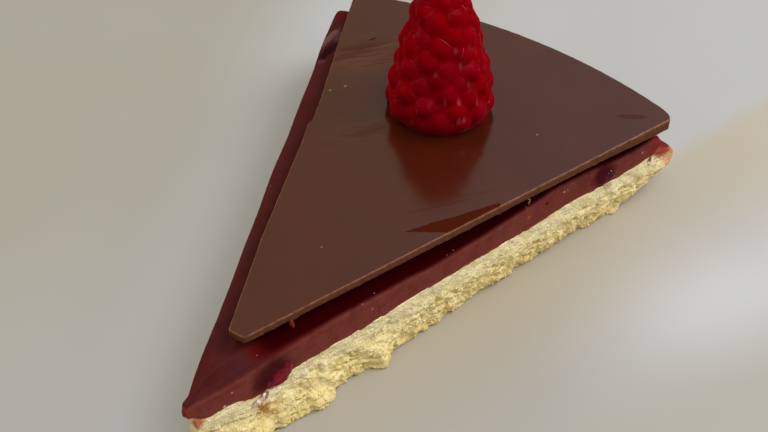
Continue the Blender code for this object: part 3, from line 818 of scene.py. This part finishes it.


# what marks the cream, in millimetres from the tart's centre: a place, half sizes, strength, colour;
# among them painted shade in the gouge and painted sheen on the smear
creamMarks = (
    # painted shade in the gouge
    ((-31.6, 93.4, 19.8), (0.95, 4.3, 9), 0.9, (0.022, 0.002, 0.003)),
    ((-30.8, 89.9, 20.0), (0.8, 1.1, 9), 0.6, (0.11, 0.035, 0.05)),
    # painted sheen on the raised smear beside the gouge
    ((-33.6, 97.2, 20.0), (0.85, 4.6, 9), 0.75, (0.15, 0.075, 0.075)),
    ((-32.6, 98.9, 20.0), (1.5, 1.9, 9), 0.6, (0.14, 0.065, 0.07)),
    ((-36.0, 107.5, 19.0), (2.0, 3.6, 9), 0.7, (0.10, 0.006, 0.005)),
    ((0.0, 0.4, 15.2), (1.7, 1.3, 0.8), 0.7, (0.34, 0.12, 0.08)),
    ((26.4, 74.2, 17.6), (0.9, 0.28, 1.3), 0.5, (0.24, 0.060, 0.030)),
    ((26.8, 75.2, 16.8), (0.9, 0.24, 1.2), 0.5, (0.22, 0.052, 0.026)),
)
# pale flecks, and dark pits painted as shade, on the right cut, in millimetres: radius, height, size,
# colour
creamFlecks = (
    (9.8, 15.6, 0.26, (0.42, 0.20, 0.17)),
    (8.1, 13.1, 0.34, (0.60, 0.42, 0.36)),
    (38.6, 18.6, 0.24, (0.40, 0.16, 0.15)),
    (40.7, 16.0, 0.30, (0.38, 0.10, 0.11)),
    (88.7, 16.9, 0.30, (0.48, 0.22, 0.24)),
    (89.6, 16.8, 0.22, (0.44, 0.20, 0.22)),
    (110.4, 15.1, 0.30, (0.50, 0.30, 0.30)),
    (84.0, 16.6, 0.36, (0.03, 0.002, 0.003)),
    (79.2, 15.8, 0.5, (0.30, 0.085, 0.035)),
)


def fillingMaterial():
    made, place, feed = startMaterial(
        "berry_cream",
        {
            "Specular IOR Level": 0.0,
            "Coat Roughness": 0.5,
            "Coat IOR": 1.45,
            "Subsurface Weight": 0.12,
            "Subsurface Scale": 0.0012,
            "Subsurface Radius": (1.0, 0.15, 0.12),
        },
    )
    skin = place.attribute("skin")
    above = place.attribute("above")
    shade = place.attribute("shade")
    mottle = place.noise(3 * mm, 3.0, 0.6)
    fine = place.noise(0.7 * mm, 2.0, 0.6)
    cut = (mottle.rise(0.3, 0.7) * 0.65 + fine.rise(0.3, 0.7) * 0.35).mix(
        (0.140, 0.0302, 0.0240), (0.191, 0.0493, 0.0376)
    )
    top = layered(
        (0.056, 0.0085, 0.0085),
        (mottle.rise(0.3, 0.7), (0.072, 0.0118, 0.0110)),
        (place.noise(5 * mm, 2.0).rise(0.45, 0.7) * 0.7, (0.058, 0.0110, 0.0135)),
        # painted shadow under the plate's right edge, deepening to near black
        (shade.rise(0.0, 0.45), (0.085, 0.0060, 0.0065)),
        (shade.rise(0.25, 0.95), (0.026, 0.0004, 0.0009)),
    )
    speck = place.cells(2.7 * mm).rise(0.055, 0.03) * place.noise(9 * mm).rise(0.5, 0.6)
    # dark pits: painted shade of small holes that the mesh does not have
    pit = place.cells(1.9 * mm).rise(0.09, 0.05)
    colour = layered(
        cut,
        (skin.rise(0.3, 1.0), top),
        ((above + (mottle - 0.5) * 1.2).rise(0.65, 0.05), (0.235, 0.055, 0.026)),
        (speck * 0.45, (0.50, 0.26, 0.24)),
        (pit * (1 - speck) * 0.5, (0.05, 0.004, 0.006)),
    )
    whole, uneven = (mm, mm, mm), mottle - 0.5
    red, purplish = (0.19, 0.024, 0.019), (0.042, 0.0035, 0.0070)
    colour = place.spot(colour, onCut(115.2 * mm, 14 * mm), whole, uneven * 3, (4.5, 1.5), red, 0.7)
    for radius, tall, (half, _, _) in berryPieces.values():
        # the berry's juice has soaked the cream about it
        middle = onCut(radius - 0.8 * mm, tall + 0.7 * mm)
        edge = (half / mm * 1.55, half / mm * 0.6)
        colour = place.spot(colour, middle, whole, uneven * 1.6, edge, purplish, 0.85)
    for spot, sizes, strength, stain in creamMarks:
        middle = fromCentre(*spot)
        colour = place.spot(colour, middle, Vector(sizes) * mm, uneven * 1.1, (1.2, 0.6), stain, strength)
    for radius, tall, size, fleck in creamFlecks:
        middle, edge = onCut(radius * mm, tall * mm), (size * 1.15, size * 0.6)
        colour = place.spot(colour, middle, whole, (fine - 0.5) * 0.35, edge, fleck)
    moist = skin.rise(0.8, 1.0) * (1 - shade.rise(0.0, 0.5))
    feed(
        Base_Color=colour,
        Roughness=skin * -0.16 + 0.6,
        Coat_Weight=moist * (place.axis("Y").rise(-55 * mm, -25 * mm) * 0.10 + 0.07),
        Normal=(mottle * 0.7 + fine * 0.5).bump(0.10 * mm, 0.45),
    )
    return made


# the berry pieces that the knife laid open: radius, height, half sizes

berryPieces = {
    "berryPieceTip": (19.2 * mm, 13.6 * mm, (3.7 * mm, 3.2 * mm, 3.2 * mm)),
    "berryPieceRim": (100.3 * mm, 14.4 * mm, (2.7 * mm, 2.4 * mm, 1.8 * mm)),
}
berryCut = {
    "proud": 0.38 * mm,
    "sunk": 0.5 * mm,  # how far its dry side lies behind the cream
    "lump": 2.2 * mm,
    "relief": 0.42 * mm,
    "wetSide": Vector((0.55, 0, -0.83)),  # along the cut and down: this side is bare and wet
    "wetReach": 2.2 * mm,
    # painted highlights, in millimetres: radius, height, size
    "glints": (
        (21.2, 13.7, 0.34), (18.3, 12.0, 0.26), (18.4, 10.7, 0.24),
        (99.4, 14.9, 0.2), (100.3, 14.2, 0.24), (101.5, 15.3, 0.22), (100.9, 14.9, 0.18),
    ),
}


def makeBerryPieces(material):
    along = (onCut(1, 0) - onCut(0, 0)).normalized()
    turn = Matrix((along, -sideNormal(1), Vector((0, 0, 1)))).transposed()
    nodes = {"berryPieceTip": "berry_piece_tip", "berryPieceRim": "berry_piece_rim"}
    for name, (radius, height, sizes) in berryPieces.items():
        bm = bmesh.new()
        wetness = bm.verts.layers.float.new("wet")
        bmesh.ops.create_icosphere(bm, subdivisions=6, radius=1)
        for vert in bm.verts:
            knock = 0.94 + 0.22 * noise.noise(vert.co * 1.7 + Vector((radius / mm, 0, 0)))
            local = Vector(c * half * knock for c, half in zip(vert.co, sizes))
            flat = clamp((-local.y + 0.2 * mm) / (0.8 * mm))
            wet = ease(0.7 + 0.5 * local.dot(berryCut["wetSide"]) / berryCut["wetReach"])
            middle = 1 - (local.x / sizes[0]) ** 2 - (local.z / sizes[2]) ** 2
            proud = berryCut["proud"] * wet * clamp(middle * 2.5) - berryCut["sunk"] * (1 - wet)
            local.y = max(local.y, -proud)
            near = noise.voronoi(local / berryCut["lump"] + Vector((radius / mm, 3, 1)))[0][0]
            local.y -= (0.45 - near**1.5) * berryCut["relief"] * flat * wet
            vert.co = onCut(radius, height) + turn @ local
            vert[wetness] = wet
        finishPiece(name, bm, material, [nodes[name]])


def cutBerryMaterial():
    made, place, feed = startMaterial(
        "cut_berry", {"Specular IOR Level": 0.02, "Coat Roughness": 0.07, "Coat IOR": 1.4}
    )
    wet = place.attribute("wet")
    mottle = place.noise(1.1 * mm, 3.0, 0.6)
    bright = mottle.rise(0.35, 0.65).mix((0.085, 0.0010, 0.009), (0.215, 0.0020, 0.016))
    flesh = (wet + (mottle - 0.5) * 0.8).rise(0.35, 0.9).mix((0.042, 0.0030, 0.0065), bright)
    whole, darker, pale = (mm, mm, mm), (0.034, 0.0022, 0.0060), (0.62, 0.26, 0.30)
    radius, tall, _ = berryPieces["berryPieceRim"]
    flesh = place.spot(flesh, onCut(radius, tall), whole, 0, (6, 5), darker, 0.8)
    # painted highlights on the berry's flesh
    for radius, tall, size in berryCut["glints"]:
        middle, edge = onCut(radius * mm, tall * mm), (size * 1.2, size * 0.5)
        flesh = place.spot(flesh, middle, whole, (mottle - 0.5) * 0.2, edge, pale, 0.8)
    feed(
        Base_Color=flesh,
        Roughness=wet.rise(0.2, 0.8) * -0.35 + 0.55,
        Coat_Weight=wet.rise(0.5, 0.9) * 0.5,
        Normal=mottle.bump(0.15 * mm, 0.6),
    )
    return made


# chocolate plate

plate = {
    "top": 24.3 * mm,
    "radius": 115.0 * mm,
    "thickness": (1.5 * mm, 1.75 * mm, 2.5 * mm),  # at the tip, in the middle and at the rim
    "thickStart": 84 * mm,
    "thickWidth": 24 * mm,
    "arcParts": 60,
    "cornerAngle": 0.026,
    "cornerDrop": (0.4 * mm, 1.5 * mm),
    # its tip and its uneven left edge, in millimetres from the tart's centre
    "tipLeft": (-0.7, 14.7),
    "tipRight": (2.8, 14.6),
    "leftEdge": (
        (-28.0, 92.0), (-21.5, 75.6), (-19.1, 69.0), (-19.3, 67.6), (-17.3, 62.4), (-9.0, 37.0),
    ),
    "leftAngle": math.radians(-17.6),
    "rightAngle": math.radians(21.4),
    "step": 0.3 * mm,
    "stations": (16 * mm, 114 * mm, 2 * mm),  # where its underside bends with the thickness
    "cornerSmoothings": 3,
    "burr": 0.3 * mm,
    # its edge from the bottom up: how far in, in millimetres, and share of the thickness
    "edge": (
        (0.45, 0.0), (0.16, 0.0), (0.03, 0.05), (0.0, 0.18), (0.0, 0.38), (0.0, 0.58), (0.0, 0.78),
        (0.03, 0.87), (0.10, 0.94), (0.20, 0.985), (0.30, 1.0), (0.45, 1.0),
    ),
}


def plateThickness(y):
    tip, middle, rim = plate["thickness"]
    slow = ease(y / plate["thickStart"])
    late = ease((y - plate["thickStart"]) / plate["thickWidth"])
    return tip + (middle - tip) * slow + (rim - middle) * late


def plateOutline():
    # anticlockwise from the right corner of its blunt tip
    first = plate["rightAngle"] - plate["cornerAngle"]
    last = plate["leftAngle"] + plate["cornerAngle"]
    near, far = plate["cornerDrop"]
    third = plate["cornerAngle"] / 3
    arc = steps(first, last, (first - last) / plate["arcParts"])
    return [
        fromCentre(*plate["tipRight"]),
        polar(plate["radius"] - far, plate["rightAngle"]),
        polar(plate["radius"] - near, plate["rightAngle"] - third),
        *[polar(plate["radius"], angle) for angle in arc],
        polar(plate["radius"] - near, plate["leftAngle"] + third),
        polar(plate["radius"] - far, plate["leftAngle"]),
        *[fromCentre(x, y) for x, y in plate["leftEdge"]],
        fromCentre(*plate["tipLeft"]),
    ]


def outlineSpots(corners, spacing):
    # points along a closed outline, each with the way out of it
    points = []
    for first, second in zip(corners, corners[1:] + corners[:1]):
        count = max(1, round((second - first).length / spacing))
        points += [first.lerp(second, k / count) for k in range(count)]
    for _ in range(plate["cornerSmoothings"]):
        ring = zip(points[-1:] + points[:-1], points, points[1:] + points[:1])
        points = [(before + 2 * point + after) / 4 for before, point, after in ring]
    spots = []
    for before, point, after in zip(points[-1:] + points[:-1], points, points[1:] + points[:1]):
        ahead = (after - before).normalized()
        spots.append((point, Vector((ahead.y, -ahead.x, 0))))
    return spots


def placePlate(spot, ring):
    (point, outward), (inset, share) = spot, ring
    inset *= mm
    nick = noise.noise(point / (0.8 * mm)) + 0.7 * noise.noise(point / (2.7 * mm) + Vector((4, 0, 2)))
    chip = noise.noise(point / (1.6 * mm) + Vector((9, 3, share * 2)))
    low = clamp(1 - share / 0.25)
    place = point + outward * (0.07 * mm * chip * (share > 0) - inset)
    place += outward * 0.10 * mm * max(0.0, nick) * clamp(1 - abs(share - 0.05) / 0.2)
    thickness = plateThickness(point.y - wedge["centre"].y)
    place.z = plate["top"] - thickness * (1 - share) - max(0.0, nick - 0.2) * plate["burr"] * low
    return place, clamp((0.3 - inset / mm) / 0.2) if share < 0.99 else 0.0, share


def makePlate(material):
    spots = outlineSpots(plateOutline(), plate["step"])
    bm = rolledGrid(spots, plate["edge"], placePlate, ["edge", "share"])
    for station in steps(*plate["stations"]):
        faces = [f for f in bm.faces if len(f.verts) > 4 and f.normal.z < 0]
        edges = list({e for f in faces for e in f.edges})
        verts = list({v for f in faces for v in f.verts})
        middle = wedge["centre"] + Vector((0, station, 0))
        bmesh.ops.bisect_plane(bm, geom=faces + edges + verts, plane_co=middle, plane_no=(0, 1, 0))
    bmesh.ops.triangulate(bm, faces=[f for f in bm.faces if len(f.verts) > 4])
    finishPiece("chocolatePlate", bm, material, ["chocolate_plate"])


# marks on the plate, in millimetres from the tart's centre
plateMarks = {
    # a bare, glossier patch by the right edge: its two straight sides, each a point and the way in
    "patch": (((12.1, 50.7), (0.814, -0.581)), ((13.2, 51.0), (-0.523, 0.853))),
    "patchReach": ((18.9, 58.7), 9.6),  # and how far it reaches from its middle
    "slits": (  # centre, heading in radians, half length, half width, strength
        ((34.5, 102.6), 0.50, 3.4, 0.85, 0.5),
        ((15.0, 60.6), 0.86, 7.5, 0.35, 0.35),
        ((18.5, 66.4), 0.82, 6.5, 0.30, 0.30),
        ((10.2, 58.6), 0.95, 5.0, 0.30, 0.25),
        ((-22.7, 97.4), 0.98, 0.9, 0.30, 0.8),
    ),
    "specks": ((-19.2, 81.2, 0.3), (-21.1, 78.5, 0.25), (2.0, 40.0, 0.2), (21.0, 88.0, 0.2)),
    # faint wavy streaks, painted sheen in lighter lines with less coat between them: centre, heading,
    # half length, half width, strength
    "wavy": (
        ((-20.5, 92.5), math.radians(43), 15, 7.5, 1.0),
        ((-8.5, 71.5), math.radians(50), 13, 3.5, 0.7),
    ),
}


def chocolateMaterial():
    made, place, feed = startMaterial(
        "milk_chocolate",
        {"Roughness": 0.55, "Specular IOR Level": 0.04, "Coat IOR": 1.56, "Coat Roughness": 0.16},
    )
    edge, share = place.attribute("edge"), place.attribute("share")

    def at(x, y):
        return fromCentre(x, y, plate["top"] / mm)

    def oval(middle, turn, length, width):
        # the place turned as an oval mark is, and its distance from the middle in the mark's half sizes
        off = place.turned(-turn)
        middle = Matrix.Rotation(-turn, 3, "Z") @ at(*middle)
        return off, off.reach(middle, (length * mm, width * mm, 1))

    mottle = place.noise(13 * mm, 3.0, 0.6)
    fine = place.noise(1.1 * mm, 3.0, 0.6)
    body = mottle.rise(0.35, 0.65).mix((0.043, 0.0046, 0.0005), (0.051, 0.0062, 0.0010))
    (x, y), reach = plateMarks["patchReach"]
    bare = place.reach(at(x, y)).rise((reach + 0.3) * mm, (reach - 0.1) * mm)
    uneven = (mottle - 0.5) * (1.6 * mm) + (fine - 0.5) * (0.4 * mm)
    for (x, y), heading in plateMarks["patch"]:
        past = place.past(at(x, y), (*heading, 0)) + uneven
        bare = bare * past.rise(0, 0.22 * mm)
    for *mark, strength in plateMarks["slits"]:
        off, reach = oval(*mark)
        bare = bare + (reach + (fine - 0.5) * 0.5).rise(1.1, 0.7) * strength
    # painted sheen in wavy lighter lines; the coat is thinner between them
    for *mark, strength in plateMarks["wavy"]:
        off, reach = oval(*mark)
        lines = off.bent(6 * mm, 2 * mm).noise(1.8 * mm, 2.0, 0.5, (0.10, 1, 1)).rise(0.36, 0.64)
        paintedSheenHere = reach.rise(1.1, 0.2) * strength
        body = (paintedSheenHere * lines * 0.8).mix(body, (0.082, 0.0180, 0.0050))
        bare = bare + paintedSheenHere * (1 - lines) * 0.5
    bare = (bare * (1 - edge)).rise(0, 1)
    body = (bare * 0.7).mix(body, (0.051, 0.0074, 0.0007))
    for x, y, size in plateMarks["specks"]:
        sizes = (size * mm, size * 1.6 * mm, 1)
        body = place.spot(body, at(x, y), sizes, (fine - 0.5) * 0.6, (1.2, 0.5), (0.30, 0.15, 0.10), 0.6)
    side = fine.rise(0.3, 0.7).mix((0.090, 0.030, 0.0130), (0.130, 0.046, 0.021))
    # the top arris lighter: partly the cut chocolate's lighter tone, partly a painted highlight
    arris = share.rise(0.80, 0.93) * share.rise(1.0, 0.97)
    body = layered(
        body,
        (edge.rise(0.1, 0.8), side),
        (arris * fine.rise(0.25, 0.6) * 0.85, (0.230, 0.088, 0.050)),
        (share.rise(0.14, 0.04) * edge * 0.6, (0.200, 0.095, 0.062)),
    )
    waves = place.noise(30 * mm, 2.0, 0.5, (0.6, 1.5, 1))
    feed(
        Base_Color=body,
        Coat_Weight=(1 - bare) * (1 - edge.rise(0.1, 0.8)),
        Normal=(waves + fine * 0.012).bump(0.6 * mm, 0.3),
    )
    return made


# thin scraps of chocolate that hang from the plate, in millimetres: radius, height and stand-off
# of each point along the right cut, and thickness
chocolateScraps = {
    "paths": (
        (((77.7, 22.1, 0.8), (78.4, 21.4, 0.8), (78.0, 20.7, 0.7), (78.5, 20.1, 0.5)), 0.17),
        (((24.2, 23.0, -1.9), (24.2, 22.1, -1.8), (24.5, 20.9, -1.6)), 0.40),
    ),
    "parts": 5,
    "sides": 8,
}


def smoothPath(points, parts):
    # a curve through the points
    path = []
    for k in range(len(points) - 1):
        a, b, c, d = (points[min(max(i, 0), len(points) - 1)] for i in (k - 1, k, k + 1, k + 2))
        for part in range(parts):
            t = part / parts
            bend = (2 * a - 5 * b + 4 * c - d) * t**2 + (3 * b - a - 3 * c + d) * t**3
            path.append(0.5 * (2 * b + (c - a) * t + bend))
    return path + [points[-1]]


def makeScraps(material):
    parts = []
    for spots, thick in chocolateScraps["paths"]:
        path = [onCut(radius * mm, height * mm, out * mm) for radius, height, out in spots]
        path = smoothPath(path, chocolateScraps["parts"])
        swell = [0.35 + 0.65 * math.sin(math.pi * (k + 0.6) / len(path)) for k in range(len(path))]
        parts.append(strand(path, [thick * mm * share for share in swell], chocolateScraps["sides"]))
    finishPiece("chocolateScraps", joined(parts), material)


def scrapMaterial():
    made, place, feed = startMaterial("chocolate_scraps", {"Roughness": 0.5, "Specular IOR Level": 0.2})
    grit = place.noise(0.6 * mm, 2.0)
    pale = grit.rise(0.3, 0.7).mix((0.24, 0.075, 0.026), (0.42, 0.17, 0.085))
    # the scrap near the tip is painted dark as shade at the plate's edge, the far one paler
    feed(Base_Color=place.axis("Y").rise(-20 * mm, -10 * mm).mix((0.17, 0.022, 0.007), pale))
    return made


# a pale flake on the right cut, under the berry piece
flake = {
    # in millimetres: radius, height, size
    "lumps": ((14.2, 9.3, 0.5), (14.9, 9.6, 0.58), (15.6, 10.0, 0.52), (16.0, 10.6, 0.4)),
    "out": 0.35 * mm,
    "uneven": 0.6,
    "squash": (0.6, 1.25, 1.0),
    "voxel": 0.09 * mm,
}


def makeFlake(material):
    parts = []
    for radius, height, size in flake["lumps"]:
        place = onCut(radius * mm, height * mm, flake["out"])
        parts.append(lump(place, size * mm, 3, flake["uneven"], flake["squash"]))
    finishPiece("paleFlake", fusedSkin(joined(parts), flake["voxel"], 1), material)


def mottledMaterial(name, size, dark, pale):
    made, place, feed = startMaterial(name, {"Roughness": 0.5, "Specular IOR Level": 0.3})
    feed(Base_Color=place.noise(size).rise(0.35, 0.65).mix(dark, pale))
    return made


# raspberry

berry = {
    "foot": (0.6 * mm, 85.4 * mm),
    "height": 27.0 * mm,
    "lean": math.radians(8),
    "leanHeading": Vector((-0.524, 0.852, 0)),
    "profile": (  # share of the height, radius in millimetres
        (0.00, 9.0), (0.09, 10.3), (0.18, 10.2), (0.30, 9.4), (0.45, 8.5), (0.60, 7.4), (0.72, 6.4),
        (0.82, 5.5), (0.90, 4.4), (0.96, 2.9), (1.00, 0.4),
    ),
    "drupelet": 2.72 * mm,
    "sink": 2.15 * mm,
    "sizes": (0.90, 1.12),
    "shift": 0.55 * mm,
    "area": 14.6 * mm * mm,  # what each drupelet takes up
    "turn": math.radians(137.508),  # from each drupelet to the next
    "uneven": 0.05,
    "coreShares": (0.1, 0.92, 0.04),  # of its height, where the core's lumps lie: from, to, step
    "coreSquash": (1, 1, 0.6),
    "coreInset": 0.12 * mm,
    "voxel": 0.24 * mm,
    "smoothings": 20,
    "creaseWidth": 0.8 * mm,
    "arc": (0.34 * mm, 0.17 * mm),  # how far inside a drupelet's edge its line of painted sheen runs, and its width
    "hairs": 16,
    "hairThickness": (0.030 * mm, 0.003 * mm),  # at its root, and lost at each of its joints
    "hairJoints": 6,
    "seeds": {"places": 5, "ripeness": 8, "hairs": 21},
    # small glints, painted highlights with more coat there, in millimetres from the tart's centre: place,
    # strength
    "glints": (
        ((7.6, 80.2, 32.5), 0.9), ((5.5, 78.4, 32.9), 0.7), ((8.1, 83.0, 35.0), 0.6),
        ((6.3, 82.7, 38.9), 0.55), ((8.2, 79.2, 28.6), 0.9), ((8.8, 80.0, 28.3), 0.9),
        ((9.9, 84.3, 25.9), 0.6), ((2.9, 79.1, 37.5), 0.45), ((-0.1, 75.7, 27.3), 0.5),
        ((6.4, 85.3, 41.4), 0.5), ((5.0, 82.9, 41.8), 0.4), ((9.7, 83.3, 30.9), 0.6),
    ),
}


def berryFrame():
    lean = Matrix.Rotation(berry["lean"], 4, Vector((0, 0, 1)).cross(berry["leanHeading"]))
    foot = wedge["centre"] + Vector((*berry["foot"], plate["top"]))
    return Matrix.Translation(foot) @ lean


def drupeletPlaces():
    # drupelets up the profile in a spiral, each with the same area
    draw = random.Random(berry["seeds"]["places"])
    covered, last, places = 0.0, None, []
    for share in steps(0.02, 1, 0.002):
        radius = between(berry["profile"], share) * mm
        point = Vector((radius, share * berry["height"]))
        covered += math.tau * radius * (point - last).length if last else 0
        last = point
        if covered >= len(places) * berry["area"]:
            angle = berry["turn"] * len(places)
            sunk = max(0.0, radius - berry["sink"])
            push = Vector([draw.uniform(-1, 1) for _ in range(3)]) * berry["shift"]
            place = Vector((sunk * math.cos(angle), sunk * math.sin(angle), point.y)) + push
            places.append((berryFrame() @ place, berry["drupelet"] * draw.uniform(*berry["sizes"])))
    top = Vector((0, 0, berry["height"] - berry["drupelet"]))
    return places + [(berryFrame() @ top, berry["drupelet"])]


def makeRaspberry(material):
    places = drupeletPlaces()
    parts = [lump(place, size, 4, berry["uneven"]) for place, size in places]
    for share in steps(*berry["coreShares"]):
        radius = between(berry["profile"], share) * mm - berry["coreInset"]
        core = berryFrame() @ Vector((0, 0, share * berry["height"]))
        parts.append(lump(core, radius, 4, 0, berry["coreSquash"]))
    bm = fusedSkin(joined(parts), berry["voxel"], berry["smoothings"])
    foot = Vector((0, 0, plate["top"] + 0.02 * mm))
    whole = bm.verts[:] + bm.edges[:] + bm.faces[:]
    bmesh.ops.bisect_plane(bm, geom=whole, plane_co=foot, plane_no=(0, 0, 1), clear_inner=True)
    bmesh.ops.holes_fill(bm, edges=[e for e in bm.edges if e.is_boundary], sides=0)
    bmesh.ops.triangulate(bm, faces=[f for f in bm.faces if len(f.verts) > 4])
    tree = kdtree.KDTree(len(places))
    for index, (place, _) in enumerate(places):
        tree.insert(place, index)
    tree.balance()
    crease, arc, ripe = (bm.verts.layers.float.new(name) for name in ("crease", "arc", "ripe"))
    draw = random.Random(berry["seeds"]["ripeness"])
    ripeness = [draw.random() for _ in places]
    for vert in bm.verts:
        near = sorted((away - places[index][1], index) for _, index, away in tree.find_n(vert.co, 4))
        gap = near[1][0] - near[0][0]
        outward = (vert.co - places[near[0][1]][0]).normalized()
        vert[crease] = clamp(gap / berry["creaseWidth"])
        # the arc carries a painted sheen on each drupelet's upper edge
        vert[arc] = hump(gap, *berry["arc"]) * ease(0.35 + 0.9 * outward.z)
        vert[ripe] = ripeness[near[0][1]]
    finishPiece("raspberryFruit", bm, material, ["raspberry"])


def raspberryMaterial():
    made, place, feed = startMaterial(
        "berry_skin",
        {
            "Subsurface Weight": 0.2,
            "Subsurface Scale": 0.0012,
            "Subsurface Radius": (1.0, 0.06, 0.05),
            "Sheen Weight": 0.11,
            "Sheen Roughness": 0.22,
            "Sheen Tint": (1.0, 0.45, 0.55, 1),
            "Specular IOR Level": 0.0,
            "Coat IOR": 1.35,
            "Coat Roughness": 0.28,
        },
    )
    crease, arc, ripe = (place.attribute(name) for name in ("crease", "arc", "ripe"))
    mottle = place.noise(2.2 * mm, 3.0, 0.6)
    upward = place.node("ShaderNodeNewGeometry", None, None, "Normal").axis("Z")
    streakyHighlight = place.noise(1.3 * mm, 2.0, 0.5, (1, 1, 0.35)).rise(0.56, 0.70)
    body = layered(
        (0.205, 0.0003, 0.0020),
        (ripe, (0.215, 0.0004, 0.0050)),
        (mottle.rise(0.5, 0.7) * 0.5, (0.24, 0.0004, 0.0010)),
        # painted shade in the creases between drupelets
        (crease.rise(0.9, 0.0) * 0.7, (0.165, 0.0001, 0.0006)),
        # painted purplish sheen on upward-facing drupelets
        (upward.rise(0.15, 0.9) * ripe.rise(0.4, 0.8) * crease * 0.5, (0.17, 0.0018, 0.012)),
        # painted sheen lines inside the drupelets' edges
        (arc * mottle.rise(0.45, 0.6) * 0.3, (0.32, 0.020, 0.045)),
        # painted pinkish streaks of highlight
        (streakyHighlight * ripe.rise(0.2, 0.9) * crease * 0.2, (0.30, 0.022, 0.045)),
    )
    gloss = mottle.rise(0.5, 0.7) * 0.1
    # painted highlights at the glints, with coat added there too
    for spot, strength in berry["glints"]:
        middle = fromCentre(*spot)
        glint = place.reach(middle, (0.5 * mm, 0.5 * mm, 1.2 * mm)) + (mottle - 0.5) * 0.8
        glint = glint.rise(1.2, 0.2) * strength
        body = (glint * 0.5).mix(body, (0.36, 0.060, 0.085))
        gloss = gloss + glint
    body = (place.noise(6 * mm).rise(0.52, 0.35) * 0.4).mix(body, (0.13, 0.0002, 0.0030))
    feed(
        Base_Color=body,
        Roughness=mottle * 0.2 + 0.35,
        Coat_Weight=gloss,
        Normal=(place.noise(0.9 * mm) + mottle * 0.6).bump(0.12 * mm, 0.5),
    )
    return made


def makeHairs(material):
    # the fine pale threads between the drupelets
    draw = random.Random(berry["seeds"]["hairs"])
    places = drupeletPlaces()
    core = berryFrame() @ Vector((0, 0, 0.4 * berry["height"]))
    parts = []
    for place, size in draw.sample(places, min(berry["hairs"], len(places))):
        outward = place - core
        outward = Vector((outward.x, outward.y, 0.4 * outward.z)).normalized()
        across = Vector([draw.uniform(-1, 1) for _ in range(3)]).normalized()
        start = (outward + 0.5 * across).normalized()
        swing = start.cross(across).normalized() * draw.uniform(0.5, 0.9)
        path = []
        for along in steps(0, 1, 1 / (berry["hairJoints"] - 1)):
            way = (start + swing * (along - 0.5)).normalized()
            path.append(place + way * (size + (0.05 + 0.16 * math.sin(math.pi * along)) * mm))
        if min(point.z for point in path) > plate["top"] + 0.3 * mm:
            thick, lost = berry["hairThickness"]
            parts.append(strand(path, [thick - lost * k for k in range(len(path))], 5))
    finishPiece("raspberryHairs", joined(parts), material)


makeCamera()
makeStudio()
makeFloor()
print("camera, light and floor made")
pastryLook = pastryMaterial()
makePastry(pastryLook)
makeCrumbs(pastryLook)
makeFilling(fillingMaterial())
makeBerryPieces(cutBerryMaterial())
makeFlake(mottledMaterial("pale_flake", 0.8 * mm, (0.52, 0.34, 0.30), (0.86, 0.74, 0.70)))
makePlate(chocolateMaterial())
makeScraps(scrapMaterial())
makeRaspberry(raspberryMaterial())
makeHairs(mottledMaterial("berry_hair", 2 * mm, (0.26, 0.035, 0.035), (0.44, 0.13, 0.11)))
